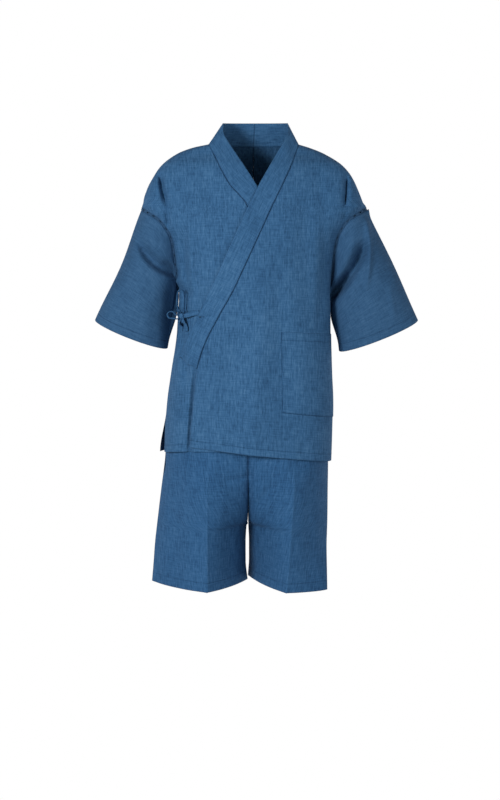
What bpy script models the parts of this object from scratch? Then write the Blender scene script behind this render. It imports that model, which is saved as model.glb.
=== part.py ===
"""Jinbei set, worn: a wrapped jacket with elbow sleeves, and knee-length shorts.

Metres, +Z up. The front faces -Y and the wearer's left is +X. The origin is the middle of the
neck base, level with the shoulder ends of the collar seam, where the jacket hangs from.
"""
import math

import bmesh
import bpy
from mathutils import Vector

# Cloth
WALL = 0.0015            # thickness of a single cloth wall
SEAM = 0.0003            # gap between two pieces that are sewn together
COLLAR_THICK = 0.0024    # the collar band is folded double
LIFT = 0.0036            # how far the over front lies outside the under front
POCKET_THICK = 0.0012
WAISTBAND_THICK = 0.0025
SQUARE = 0.12            # how much fuller than an ellipse a section of the jacket is
NORMAL_STEP = 0.0008     # how far apart in height, and in degrees round the section, the points
NORMAL_TURN = 0.25       # are that give the form's direction at a place
JUST_BELOW = -0.001      # the form's direction is read no higher than this

# Heights of the jacket
ARM_TOP = -0.139         # top of the armhole
UNDERARM = -0.325
SLIT_SHARE = 0.725       # the side slit starts this far down from underarm to hem
SLIT_GAP = 0.0012        # and stands open this far between front and back
COLLAR_END_SHARE = 0.487
POCKET_TOP_SHARE = 0.24
POCKET_ANGLE = 20.0      # left edge of the pocket, in degrees round the section
SIDE_SAG = 0.008         # the cross grain sags this much towards the sides
SLIT_FLARE = 0.010       # how far the back's right corner stands out at the slit
SLIT_FLARE_FROM = -0.60
SLIT_FLARE_FULL = -0.69
FOLD_TURN = 0.35         # cosine of the turn past which a fold fades towards the side

# The over front rises off the form between these heights, and between these turns from its side
LIFT_FROM = -0.008
LIFT_FULL = -0.070
LIFT_TURN_FROM = 1.0
LIFT_TURN_FULL = 23.0

# Columns of cells in a panel
COLUMNS_TO_ANCHOR = 7
COLUMNS_TO_SIDE = 8
ANCHOR_SHARE = 0.3       # the anchor column is at the pocket's edge, or this share across
SIDE_CROWDING = 1.25     # how much closer the columns stand towards the side
BACK_COLUMNS = 9
COLLAR_COLUMNS = 3
SLEEVE_ROWS = 8
LEG_COLUMNS = 4

# Ladder lace
LACE_THICK = 0.0010
LACE_CELLS = 12
LACE_OPEN = 0.36         # a cell's rung starts this far into its half-step
LACE_RAIL = 0.13         # width of a rail, as a share of the lace's width
LACE_START = 0.015       # share of the armhole at which the lace begins by its top
LACE_END = 0.975         # share of the armhole, from its top, where the lace ends by the underarm
LACE_GAP = 0.0009        # from the lace to the cloth on each side of it


def table(columns, *rows):
    """Columns by name, with the rows in rising order of the first column."""
    rows = sorted(rows)
    return {name: [row[i] for row in rows] for i, name in enumerate(columns.split())}


# Horizontal sections of the jacket: half width on each side, depth in front and behind
BODY = table(
    "z right left front back",
    (0.000, 0.0995, 0.0995, 0.050, 0.072),
    (-0.008, 0.1375, 0.1260, 0.052, 0.078),
    (-0.021, 0.1710, 0.1580, 0.057, 0.085),
    (-0.048, 0.2070, 0.2000, 0.083, 0.099),
    (-0.074, 0.2250, 0.2210, 0.098, 0.106),
    (-0.101, 0.2390, 0.2340, 0.110, 0.112),
    (-0.128, 0.2480, 0.2460, 0.118, 0.116),
    (-0.139, 0.2500, 0.2525, 0.120, 0.117),
    (-0.150, 0.2430, 0.2450, 0.122, 0.118),
    (-0.174, 0.2205, 0.2220, 0.126, 0.119),
    (-0.208, 0.1930, 0.1960, 0.130, 0.120),
    (-0.250, 0.1800, 0.1830, 0.132, 0.119),
    (-0.325, 0.1680, 0.1705, 0.134, 0.113),
    (-0.400, 0.1730, 0.1730, 0.135, 0.108),
    (-0.505, 0.1870, 0.1770, 0.138, 0.112),
    (-0.574, 0.1960, 0.1800, 0.141, 0.118),
    (-0.640, 0.2010, 0.1790, 0.144, 0.126),
    (-0.720, 0.2035, 0.1767, 0.146, 0.132),
)

# Half width that the chest and the back follow between the armholes, clear of the shoulder caps
CHEST = table(
    "z right left",
    (0.000, 0.0995, 0.0995),
    (-0.008, 0.1300, 0.1220),
    (-0.021, 0.1580, 0.1500),
    (-0.048, 0.1880, 0.1840),
    (-0.074, 0.2020, 0.2000),
    (-0.101, 0.2090, 0.2080),
    (-0.139, 0.2100, 0.2110),
    (-0.174, 0.2040, 0.2060),
    (-0.208, 0.1930, 0.1960),
    (-0.250, 0.1800, 0.1830),
    (-0.325, 0.1680, 0.1705),
)
CHEST_TURN = 36.0        # the section leaves the chest for the shoulder cap between these angles
CAP_TURN = 66.0

# Armhole edge from its top down to the underarm: angle round the section, and which way the
# lace and the sleeve leave it, in degrees below the horizontal
ARMHOLE = table(
    "step z angle droop lace",
    (0, -0.1390, 90.0, 78.0, 0.0090),
    (1, -0.1445, 80.5, 70.0, 0.0090),
    (2, -0.1510, 73.5, 60.0, 0.0085),
    (3, -0.1580, 69.0, 50.0, 0.0075),
    (4, -0.1660, 66.5, 41.0, 0.0065),
    (5, -0.1760, 66.0, 34.0, 0.0060),
    (6, -0.1890, 67.0, 30.0, 0.0060),
    (7, -0.2060, 69.5, 27.0, 0.0060),
    (8, -0.2270, 72.0, 25.0, 0.0060),
    (9, -0.2500, 75.0, 24.0, 0.0060),
    (10, -0.2740, 79.0, 24.0, 0.0060),
    (11, -0.3000, 84.0, 24.0, 0.0060),
    (12, -0.3250, 90.0, 24.0, 0.0060),
)
ARM_STEPS = 12

# Collar seam of each front, and below the collar the front's free edge
FRONT_EDGE = table(
    "z over under",
    (0.000, 0.0995, -0.0995),
    (-0.035, 0.0890, -0.0830),
    (-0.058, 0.0800, -0.0720),
    (-0.090, 0.0655, -0.0545),
    (-0.133, 0.0445, -0.0180),
    (-0.200, 0.0137, 0.0130),
    (-0.300, -0.0322, 0.0490),
    (-0.4924, -0.1204, 0.1180),
    (-0.600, -0.1310, 0.1290),
    (-0.720, -0.1420, 0.1380),
)

# Free edge of the collar band beside each height of its seam
COLLAR_OVER = table(
    "seam_z x y z",
    (0.000, 0.0749, 0.000, 0.0470),
    (-0.015, 0.0745, -0.025, 0.0260),
    (-0.035, 0.0655, -0.050, 0.0020),
    (-0.058, 0.0515, -0.072, -0.0230),
    (-0.085, 0.0350, -0.092, -0.0530),
    (-0.133, 0.0060, -0.113, -0.1055),
    (-0.300, -0.0735, -0.125, -0.2810),
    (-0.4924, -0.1600, -0.110, -0.4737),
)
COLLAR_UNDER = table(
    "seam_z x y z",
    (0.000, -0.0675, 0.000, 0.0470),
    (-0.015, -0.0665, -0.025, 0.0260),
    (-0.035, -0.0530, -0.052, -0.0010),
    (-0.058, -0.0385, -0.073, -0.0240),
    (-0.090, -0.0180, -0.093, -0.0550),
    (-0.133, 0.0110, -0.112, -0.1030),
    (-0.300, 0.0920, -0.125, -0.2790),
    (-0.4924, 0.1580, -0.110, -0.4730),
)
COLLAR_WIDTH = 0.045
NECK_GAP = 0.0012        # the standing collar starts this far from the edge of the body cloth
CHEST_GAP = 0.0005
CHEST_GAP_FROM = -0.03   # the first gap turns into the second between these heights
CHEST_GAP_FULL = -0.08
STANDS_TO = -0.030       # the collar stands straight above this height of its seam
LIES_FROM = -0.100       # and lies on the chest below this one
UNDER_TRIM = 0.0006      # the under collar is this much thinner, clear of the over front
NAPE_Y = 0.062           # free edge of the collar at the centre back
NAPE_Z = 0.052
RIM_MIDDLE = 0.0037      # the worn collar sits a little to the wearer's left

# Hem height round the section, on the over front and back, and on the under front
HEM = table(
    "angle over under",
    (-180.0, -0.6970, -0.6970),
    (-90.0, -0.6910, -0.6910),
    (-45.0, -0.6690, -0.6790),
    (0.0, -0.6825, -0.6740),
    (45.0, -0.6980, -0.6740),
    (90.0, -0.7090, -0.6900),
    (180.0, -0.6970, -0.6970),
)

# Largest folds of the jacket: a trough along a line in front view, pressed towards the wearer
FOLDS = (
    # side, start x, z, end x, z, width, depth
    ("front", -0.208, -0.072, -0.190, -0.176, 0.024, 0.017),
    ("front", 0.208, -0.080, 0.199, -0.190, 0.024, 0.014),
    ("back", -0.190, -0.090, -0.178, -0.260, 0.040, 0.012),
    ("back", 0.192, -0.085, 0.176, -0.270, 0.040, 0.012),
    ("back", -0.070, -0.180, -0.105, -0.640, 0.060, 0.007),
    ("back", 0.085, -0.210, 0.110, -0.660, 0.055, 0.007),
)

# Rows of the jacket panels
SHOULDER_ROWS = (0.0, -0.004, -0.011, -0.021, -0.034, -0.048, -0.066, -0.085, -0.104, -0.122)
FRONT_START = -0.0003
LOWER_SHARES = (0.08, 0.16, 0.24, 0.32, 0.40, 0.487, 0.565, 0.645, 0.725, 0.80, 0.87, 0.935, 1.0)

# Sleeve cuffs: outer and inner corner, half depth, how far the rim sags between them, and how
# far the sleeve's top fold hollows half-way down
CUFFS = {
    "right": dict(outer=(-0.358, -0.392), inner=(-0.1940, -0.4555), depth=0.055, sag=0.008, hollow=0.007),
    "left": dict(outer=(0.3717, -0.392), inner=(0.1935, -0.4620), depth=0.058, sag=0.008, hollow=-0.003),
}
SLEEVE_BELLY = 0.010
SLEEVE_INNER = 0.006     # how far the inner line of a sleeve leans to the body half-way down
SLEEVE_FOLDS = {
    # across starts at the top fold, 1 at the underarm; along is 0 at the head, 1 at the cuff
    "right": (
        ("front", 0.42, 0.05, 0.80, 0.55, 0.10, 0.012),
        ("back", 0.40, 0.1, 0.75, 0.6, 0.12, 0.010),
    ),
    "left": (
        ("front", 0.40, 0.30, 0.92, 0.62, 0.10, 0.014),
        ("back", 0.45, 0.1, 0.80, 0.6, 0.12, 0.010),
    ),
}

# Sections of each leg of the shorts: side seam, front crease, inner seam and back crease
LEG_RIGHT = table(
    "z side_x side_y crease_x crease_y inner_x front_y back_y rear_x rear_y full",
    (-0.515, -0.158, 0.000, -0.082, -0.094, -0.008, -0.106, 0.106, -0.082, 0.094, 0.80),
    (-0.600, -0.181, 0.000, -0.095, -0.112, -0.010, -0.117, 0.113, -0.092, 0.113, 0.75),
    (-0.660, -0.1972, 0.000, -0.100, -0.124, -0.011, -0.119, 0.116, -0.095, 0.121, 0.65),
    (-0.711, -0.2020, 0.000, -0.102, -0.130, -0.012, -0.114, 0.117, -0.097, 0.126, 0.60),
    (-0.780, -0.2110, 0.000, -0.103, -0.132, -0.012, -0.088, 0.100, -0.099, 0.128, 0.55),
    (-0.820, -0.2160, 0.000, -0.103, -0.132, -0.012, -0.060, 0.072, -0.100, 0.129, 0.52),
    (-0.845, -0.2190, 0.000, -0.103, -0.132, -0.013, -0.030, 0.038, -0.101, 0.130, 0.50),
    (-0.857, -0.2205, 0.000, -0.103, -0.132, -0.015, 0.003, 0.003, -0.102, 0.130, 0.48),
    (-0.900, -0.2255, 0.000, -0.103, -0.131, -0.0193, 0.008, 0.008, -0.104, 0.131, 0.42),
    (-0.945, -0.2290, 0.000, -0.103, -0.130, -0.0190, 0.013, 0.013, -0.106, 0.132, 0.36),
    (-0.990, -0.2330, 0.000, -0.103, -0.130, -0.0130, 0.018, 0.018, -0.110, 0.133, 0.32),
)
LEG_LEFT = table(
    "z side_x side_y crease_x crease_y inner_x front_y back_y rear_x rear_y full",
    (-0.515, 0.142, 0.000, 0.068, -0.094, -0.008, -0.106, 0.106, 0.066, 0.094, 0.80),
    (-0.600, 0.160, 0.000, 0.085, -0.112, -0.010, -0.117, 0.113, 0.080, 0.113, 0.75),
    (-0.660, 0.1685, -0.002, 0.089, -0.125, -0.011, -0.119, 0.116, 0.084, 0.121, 0.65),
    (-0.711, 0.1700, -0.006, 0.091, -0.131, -0.012, -0.114, 0.117, 0.087, 0.126, 0.60),
    (-0.780, 0.1690, -0.014, 0.087, -0.132, -0.012, -0.088, 0.100, 0.090, 0.128, 0.55),
    (-0.820, 0.1685, -0.020, 0.085, -0.132, -0.012, -0.060, 0.072, 0.093, 0.128, 0.52),
    (-0.845, 0.1680, -0.025, 0.083, -0.132, -0.012, -0.030, 0.038, 0.095, 0.128, 0.50),
    (-0.857, 0.1675, -0.028, 0.082, -0.131, -0.012, 0.003, 0.003, 0.096, 0.128, 0.48),
    (-0.900, 0.1660, -0.037, 0.079, -0.129, -0.0089, 0.020, 0.020, 0.099, 0.128, 0.42),
    (-0.945, 0.1665, -0.047, 0.076, -0.127, -0.0095, 0.033, 0.033, 0.102, 0.127, 0.36),
    (-0.990, 0.1670, -0.058, 0.072, -0.125, -0.0130, 0.045, 0.045, 0.105, 0.126, 0.32),
)
LEG_ROWS = (-0.515, -0.56, -0.61, -0.66, -0.711, -0.75, -0.785, -0.82, -0.842, -0.857, -0.885, -0.92,
            -0.955, -0.99)
CROTCH = -0.857
CROTCH_X = -0.012
LEFT_HEM_TILT = 0.008    # the left hem drops this much for each TILT_REACH outwards of TILT_X
TILT_FROM = -0.80
TILT_X = 0.04
TILT_REACH = 0.13
TUCK = 0.0022            # the shorts keep this clear of the jacket's inside
TUCK_BELOW = -0.720
WAIST_TOP = -0.488
WAIST_TAPER = (1.0, 0.985, 0.975)

# Bow at the right hip
TIE_THICK = 0.0014
TIE_CLEAR = 0.0016       # middle of a tie band that lies on the front
KNOT_X = -0.1490
KNOT_Z = -0.3810
KNOT_OUT = 0.0105
KNOT_RADIUS = 0.0075
KNOT_UNEVEN = 0.03
KNOT_GAP = 0.0003
KNOT_RUN = 0.007         # a band leaves the knot straight for this long

INDIGO = (0.045, 0.125, 0.275, 1.0)
DEEP_INDIGO = (0.035, 0.100, 0.225, 1.0)


def read(data, key, column, at):
    """Value of a column at a key, on a smooth curve that never overshoots its rows."""
    keys = data[key]
    values = data[column]
    at = min(max(at, keys[0]), keys[-1])
    i = max(n for n in range(len(keys) - 1) if keys[n] <= at)

    def slope(n):
        return (values[n + 1] - values[n]) / (keys[n + 1] - keys[n])

    def tangent(n):
        if n == 0 or n == len(keys) - 1:
            return slope(min(n, len(keys) - 2))
        before = slope(n - 1)
        after = slope(n)
        return 0.0 if before * after <= 0 else 2 * before * after / (before + after)

    span = keys[i + 1] - keys[i]
    t = (at - keys[i]) / span
    rise = values[i + 1] - values[i]
    start = tangent(i) * span
    end = tangent(i + 1) * span
    return values[i] + t * (start + t * (3 * rise - 2 * start - end + t * (start + end - 2 * rise)))


def ramp(value, start, end):
    """0 at start, 1 at end, with a soft beginning and finish."""
    t = min(max((value - start) / (end - start), 0.0), 1.0)
    return t * t * (3 - 2 * t)


def trough(u, v, fold):
    """Depth of one fold at a place given in the fold's own two coordinates."""
    side, u0, v0, u1, v1, width, depth = fold
    du = u1 - u0
    dv = v1 - v0
    length = math.hypot(du, dv)
    along = ((u - u0) * du + (v - v0) * dv) / length
    across = ((u - u0) * dv - (v - v0) * du) / length
    ends = ramp(along, -0.15 * length, 0.25 * length) * ramp(along, 1.15 * length, 0.75 * length)
    return depth * ends * math.exp(-(2 * across / width) ** 2)


def half_width(z, angle):
    """Half width of the section at a height, as it stands at this angle."""
    hand = "left" if angle >= 0 else "right"
    full = read(BODY, "z", hand, z)
    if z < UNDERARM:
        return full
    chest = read(CHEST, "z", hand, z)
    turn = min(abs(angle), 180.0 - abs(angle))
    return chest + (full - chest) * ramp(turn, CHEST_TURN, CAP_TURN)


def body_point(z, angle):
    """Point of the jacket's form: angle 0 is the centre front and 90 the wearer's left side."""
    sine = math.sin(math.radians(angle))
    cosine = math.cos(math.radians(angle))
    side = "front" if cosine >= 0 else "back"
    depth = read(BODY, "z", side, z)
    x = half_width(z, angle) * abs(sine) * (1 if angle >= 0 else -1)
    y = -depth * cosine * (1 + SQUARE * sine * sine)
    press = sum(trough(x, z, fold) for fold in FOLDS if fold[0] == side)
    y += press * max(-1.0, min(1.0, cosine / FOLD_TURN))
    if side == "back" and angle < 0:
        x -= SLIT_FLARE * ramp(z, SLIT_FLARE_FROM, SLIT_FLARE_FULL) * sine ** 4
    return Vector((x, y, z))


def body_normal(z, angle):
    """Outward direction of the jacket's form."""
    low = min(z, JUST_BELOW)
    turn = NORMAL_TURN if angle >= 0 else -NORMAL_TURN
    round_it = body_point(low, angle + turn) - body_point(low, angle - turn)
    upwards = body_point(low + NORMAL_STEP, angle) - body_point(low - NORMAL_STEP, angle)
    normal = round_it.cross(upwards)
    return normal.normalized() * (1 if angle >= 0 else -1)


def angle_at(x, z):
    """Angle round the front of the section where it passes x."""
    angle = 1.0 if x >= 0 else -1.0
    for _ in range(12):
        share = max(-1.0, min(1.0, x / half_width(z, angle)))
        angle = 0.5 * (angle + math.degrees(math.asin(share)))
    return angle


def height(row, angle, layer):
    """Height of a panel's row: a height above the underarm, or a share of the way to the hem."""
    if row <= 0 and row > UNDERARM - 1e-6:
        return row
    hem = read(HEM, "angle", layer, angle)
    sag = SIDE_SAG * math.sin(math.radians(angle)) ** 2 * 4 * row * (1 - row)
    return UNDERARM + row * (hem - UNDERARM) - sag


def side_angle(row, z):
    """Angle at which a panel ends: shoulder, armhole or side seam."""
    if z > ARM_TOP or z < UNDERARM or row > 0:
        return 90.0
    return read(ARMHOLE_BY_HEIGHT, "z", "angle", z)


ARMHOLE_BY_HEIGHT = table("z angle", *zip(ARMHOLE["z"], ARMHOLE["angle"]))
ROWS = SHOULDER_ROWS + tuple(ARMHOLE["z"]) + LOWER_SHARES


def over_lift(z, angle):
    """How far the over front stands outside the form: nothing at the shoulder and the side."""
    end = side_angle(0.0, z)
    from_side = ramp(end - angle, LIFT_TURN_FROM, LIFT_TURN_FULL)
    return LIFT * ramp(z, LIFT_FROM, LIFT_FULL) * from_side


def front_edge(row, layer):
    """Angle and height of the front edge on one row."""
    angle = 0.0
    for _ in range(8):
        z = height(row, angle, layer)
        angle = angle_at(read(FRONT_EDGE, "z", layer, z), z)
    return angle, z


def seam_turn(z, angle, gap=SEAM):
    """Half a seam gap, as an angle round the section."""
    step = 0.5
    span = (body_point(z, angle) - body_point(z, angle - step * math.copysign(1, angle))).length
    return 0.5 * gap * step / max(span, 1e-6)


def front_angles(row, layer):
    """Angles of the columns of one row of a front, from its edge to its side."""
    facing = 1 if layer == "over" else -1
    edge, z = front_edge(row, layer)
    gap = SLIT_GAP if row >= SLIT_SHARE else SEAM
    limit = side_angle(row, z) * facing
    limit -= facing * seam_turn(z, limit, gap)
    edge = edge * facing
    limit = limit * facing
    anchor = max(POCKET_ANGLE, edge + ANCHOR_SHARE * (limit - edge))
    first = [edge + (anchor - edge) * i / COLUMNS_TO_ANCHOR for i in range(COLUMNS_TO_ANCHOR)]
    rest = []
    for i in range(COLUMNS_TO_SIDE + 1):
        share = 1 - (1 - i / COLUMNS_TO_SIDE) ** SIDE_CROWDING
        rest.append(anchor + (limit - anchor) * share)
    return [facing * angle for angle in first + rest]


def front_grid(layer):
    rows = []
    for row in (FRONT_START,) + ROWS[1:]:
        cells = []
        for angle in front_angles(row, layer):
            z = height(row, angle, layer)
            normal = body_normal(z, angle)
            lift = over_lift(z, angle) if layer == "over" else 0.0
            cells.append((body_point(z, angle) + normal * lift, normal))
        rows.append(cells)
    return rows


def back_angles(row, facing):
    """Angles of one row of a back panel, from the side to the centre-back seam."""
    z = height(row, 90.0 * facing, "over")
    end = side_angle(row, z)
    gap = SLIT_GAP if row >= SLIT_SHARE else SEAM
    start = 180.0 - end + seam_turn(z, 180.0 - end, gap)
    stop = 180.0 - seam_turn(z, 179.0)
    return [facing * (start + (stop - start) * i / BACK_COLUMNS) for i in range(BACK_COLUMNS + 1)]


def back_grid(facing):
    rows = []
    for row in ROWS:
        cells = []
        for angle in back_angles(row, facing):
            z = height(row, angle, "over")
            cells.append((body_point(z, angle), body_normal(z, angle)))
        rows.append(cells)
    return rows


def collar_point(layer, seam_z, share):
    """Point of a collar half beside the front: share 0 is its seam, 1 its free edge."""
    band = COLLAR_OVER if layer == "over" else COLLAR_UNDER
    seam_x = read(FRONT_EDGE, "z", layer, seam_z)
    seam_angle = angle_at(seam_x, seam_z)
    seam = body_point(seam_z, seam_angle)
    free = Vector([read(band, "seam_z", name, seam_z) for name in ("x", "y", "z")])
    straight = seam.lerp(free, share)
    z = min(straight.z, 0.0)
    angle = angle_at(straight.x, z)
    lift = over_lift(z, angle) if layer == "over" else 0.0
    on_chest = body_point(z, angle) + body_normal(z, angle) * lift
    on_chest.z = straight.z + (on_chest.z - z)
    return straight.lerp(on_chest, ramp(seam_z, STANDS_TO, LIES_FROM))


def nape_point(facing, angle, share):
    """Point of a collar half round the back of the neck."""
    seam = body_point(0.0, facing * angle)
    sine = math.sin(math.radians(angle))
    cosine = -math.cos(math.radians(angle))
    rim = COLLAR_OVER["x"][-1] if facing > 0 else -COLLAR_UNDER["x"][-1]
    middle = RIM_MIDDLE * (1 - sine)
    side_z = COLLAR_OVER["z"][-1]
    free = Vector((facing * rim * sine + middle, NAPE_Y * cosine, side_z + (NAPE_Z - side_z) * cosine))
    return seam.lerp(free, share)


def collar_points(layer):
    """Middle surface of a collar half, from the nape down to its end."""
    facing = 1 if layer == "over" else -1

    def shares(gap):
        start = gap / COLLAR_WIDTH
        return [start + (1 - start) * i / COLLAR_COLUMNS for i in range(COLLAR_COLUMNS + 1)]

    rows = []
    for angle in reversed([abs(a) for a in back_angles(0.0, facing)][1:]):
        rows.append([nape_point(facing, angle, share) for share in shares(NECK_GAP)])
    last = ROWS.index(COLLAR_END_SHARE)
    for row in (0.0,) + ROWS[1:last + 1]:
        seam_z = front_edge(row, layer)[1] if row else 0.0
        gap = NECK_GAP + (CHEST_GAP - NECK_GAP) * ramp(seam_z, CHEST_GAP_FROM, CHEST_GAP_FULL)
        rows.append([collar_point(layer, seam_z, share) for share in shares(gap)])
    return rows


def with_normals(points, sign):
    """Add to each point of a grid the direction square to the grid there."""
    rows = len(points)
    columns = len(points[0])
    grid = []
    for i in range(rows):
        cells = []
        for j in range(columns):
            down = points[min(i + 1, rows - 1)][j] - points[max(i - 1, 0)][j]
            across = points[i][min(j + 1, columns - 1)] - points[i][max(j - 1, 0)]
            cells.append((points[i][j], down.cross(across).normalized() * sign))
        grid.append(cells)
    return grid


def armhole_point(facing, step, side):
    """Point of the armhole edge, and the way the lace leaves it."""
    z = read(ARMHOLE, "step", "z", step)
    angle = read(ARMHOLE_BY_HEIGHT, "z", "angle", z)
    if side == "back":
        angle = 180.0 - angle
    droop = math.radians(read(ARMHOLE, "step", "droop", step))
    way = Vector((facing * math.cos(droop), 0.0, -math.sin(droop)))
    return body_point(z, facing * angle), way


def arm_shares(facing):
    """How far round the sleeve each step of the armhole lies, by length."""
    points = [armhole_point(facing, step, "front")[0] for step in range(ARM_STEPS + 1)]
    lengths = [0.0]
    for a, b in zip(points, points[1:]):
        lengths.append(lengths[-1] + (b - a).length)
    return table("step share", *[(i, length / lengths[-1]) for i, length in enumerate(lengths)])


ARM_SHARES = {1: arm_shares(1), -1: arm_shares(-1)}


def sleeve_point(facing, along, step):
    """Point of a sleeve: step is 0 on the top fold, negative in front, positive behind."""
    side = "front" if step <= 0 else "back"
    around = -1 if side == "front" else 1
    start, way = armhole_point(facing, abs(step), side)
    start = start + way * (read(ARMHOLE, "step", "lace", abs(step)) + 2 * LACE_GAP)
    cuff = CUFFS["left" if facing > 0 else "right"]
    share = read(ARM_SHARES[facing], "step", "share", abs(step))
    sine = math.sin(math.pi * share)
    mix = 0.5 * (1 - math.cos(math.pi * share))
    x = cuff["outer"][0] + (cuff["inner"][0] - cuff["outer"][0]) * mix
    z = cuff["outer"][1] + (cuff["inner"][1] - cuff["outer"][1]) * mix - cuff["sag"] * sine
    end = Vector((x, around * cuff["depth"] * sine, z))
    point = start.lerp(end, along)
    swell = math.sin(math.pi * along)
    point.y += around * SLEEVE_BELLY * swell * sine
    point.x -= facing * swell ** 2 * (cuff["hollow"] * (1 - share) ** 2 + SLEEVE_INNER * share ** 2)
    for fold in SLEEVE_FOLDS["left" if facing > 0 else "right"]:
        if fold[0] == side:
            point.y -= around * trough(share, along, fold) * sine
    return point


def sleeve_grid(facing):
    rows = []
    for i in range(SLEEVE_ROWS + 1):
        along = i / SLEEVE_ROWS
        row = []
        for step in range(-ARM_STEPS, ARM_STEPS + 1):
            point = sleeve_point(facing, along, step)
            if abs(step) == ARM_STEPS:
                point.y = math.copysign(0.5 * SEAM, step)
            row.append(point)
        rows.append(row)
    grid = with_normals(rows, facing)
    for cells in grid:
        for end in (0, -1):
            point, normal = cells[end]
            normal.y = 0.0
            cells[end] = (point, normal.normalized())
    return grid


def lace_grid(facing, side):
    """A strip from the armhole edge to the sleeve head: two rails and a rung for each cell."""
    rows = []
    count = 2 * LACE_CELLS
    shares = ARM_SHARES[facing]
    by_share = table("share step", *zip(shares["share"], shares["step"]))
    for i in range(count + 1):
        share = i / count if i % 2 == 0 else (i + LACE_OPEN) / count
        share = min(max(share, LACE_START), LACE_END)
        step = read(by_share, "share", "step", share)
        start, way = armhole_point(facing, step, side)
        width = read(ARMHOLE, "step", "lace", step)
        parts = (0.0, LACE_RAIL, 1.0 - LACE_RAIL, 1.0)
        rows.append([start + way * (LACE_GAP + width * part) for part in parts])
    return with_normals(rows, facing if side == "front" else -facing)


def leg_section(leg, z, side):
    """Inner seam, crease and side seam of one leg panel at a height, and how full it is."""
    def place(x_name, y_name):
        return Vector((read(leg, "z", x_name, z), read(leg, "z", y_name, z), z))
    if side == "front":
        corners = place("inner_x", "front_y"), place("crease_x", "crease_y"), place("side_x", "side_y")
    else:
        inner = place("inner_x", "back_y" if z > CROTCH else "front_y")
        corners = inner, place("rear_x", "rear_y"), place("side_x", "side_y")
    return corners, read(leg, "z", "full", z)


def tucked(point):
    """Keep a point of the shorts inside the jacket wherever the jacket covers it."""
    half = half_width(point.z, point.x)
    depth = read(BODY, "z", "front" if point.y < 0 else "back", point.z)
    angle = math.degrees(math.atan2(abs(point.x) / half, abs(point.y) / depth))
    if point.y > 0:
        angle = 180.0 - angle
    form = body_point(point.z, math.copysign(angle, point.x))
    room = math.hypot(form.x, form.y) - WALL - TUCK
    share = room / math.hypot(point.x, point.y)
    if point.z < TUCK_BELOW or share > 1:
        return point
    return Vector((point.x * share, point.y * share, point.z))


def leg_row(leg, z, side):
    """Points of one row of a leg panel, from the inner seam over the crease to the side seam."""
    (inner, crease, outer), full = leg_section(leg, z, side)

    def quarter(seam, t):
        """Between a flat run and a quarter ellipse, t going from the seam to the crease."""
        turn = 0.5 * math.pi * t
        x = crease.x + (seam.x - crease.x) * math.cos(turn)
        y = seam.y + (crease.y - seam.y) * math.sin(turn)
        return seam.lerp(crease, t).lerp(Vector((x, y, z)), full)

    row = [quarter(inner, i / LEG_COLUMNS) for i in range(LEG_COLUMNS + 1)]
    row += [quarter(outer, 1 - i / LEG_COLUMNS) for i in range(1, LEG_COLUMNS + 1)]
    return [hem_tilt(leg, tucked(point)) for point in row]


def hem_tilt(leg, point):
    """The turned-out left leg drops a little more on its outer side."""
    if leg is LEG_LEFT:
        point.z -= LEFT_HEM_TILT * ramp(point.z, TILT_FROM, LEG_ROWS[-1]) * (point.x - TILT_X) / TILT_REACH
    return point


def leg_grid(leg, facing, side):
    """Wall grid of a leg panel, with shared directions along every seam."""
    around = -1 if side == "front" else 1
    points = []
    for z in LEG_ROWS:
        row = leg_row(leg, z, side)
        if z == CROTCH:
            row[0].x = CROTCH_X
        if z >= CROTCH:
            row[0].x += facing * 0.5 * SEAM
        if z <= CROTCH:
            row[0].y += around * 0.5 * SEAM
        row[-1].y += around * 0.5 * SEAM
        points.append(row)
    grid = with_normals(points, -facing * around)
    for i, cells in enumerate(grid):
        z = LEG_ROWS[i]
        last = points[i][-1]
        cells[-1] = (last, Vector((facing, 0.0, 0.0)))
        first = points[i][0]
        if z > CROTCH:
            before = points[max(i - 1, 0)][0]
            after = points[i + 1][0]
            way = after - before
            normal = Vector((0.0, way.z, -way.y)).normalized()
            if normal.y * around < 0:
                normal.negate()
        elif z == CROTCH:
            normal = Vector((-facing, 0.0, -1.0)).normalized()
        else:
            normal = Vector((-facing, 0.0, 0.0))
        cells[0] = (first, normal)
    return grid


def waistband_grid():
    """Ring above the legs, made from the points of their top rows."""
    top = LEG_ROWS[0]
    ring = leg_row(LEG_LEFT, top, "front")[1:]
    ring += list(reversed(leg_row(LEG_LEFT, top, "back")))[1:]
    ring += leg_row(LEG_RIGHT, top, "back")[1:]
    ring += list(reversed(leg_row(LEG_RIGHT, top, "front")))[1:]
    middle = sum(ring, Vector()) / len(ring)
    rows = []
    for z, scale in zip((top + SEAM, 0.5 * (top + WAIST_TOP), WAIST_TOP), WAIST_TAPER):
        cells = []
        for point in ring:
            out = Vector((point.x - middle.x, point.y - middle.y, 0.0))
            cells.append((Vector((middle.x, middle.y, z)) + out * scale, out.normalized()))
        rows.append(cells)
    return rows


def cloth(name, colour, roughness=0.9):
    material = bpy.data.materials.new(name + "_cloth")
    material.use_nodes = True
    shader = material.node_tree.nodes["Principled BSDF"]
    shader.inputs["Base Color"].default_value = colour
    shader.inputs["Roughness"].default_value = roughness
    shader.inputs["Metallic"].default_value = 0.0
    return material


def add_object(name, mesh, colour):
    mesh.materials.append(cloth(name, colour))
    mesh.shade_smooth()
    mesh.set_sharp_from_angle(angle=math.radians(40))
    made = bpy.data.objects.new(name, mesh)
    bpy.context.scene.collection.objects.link(made)
    return made


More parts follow.
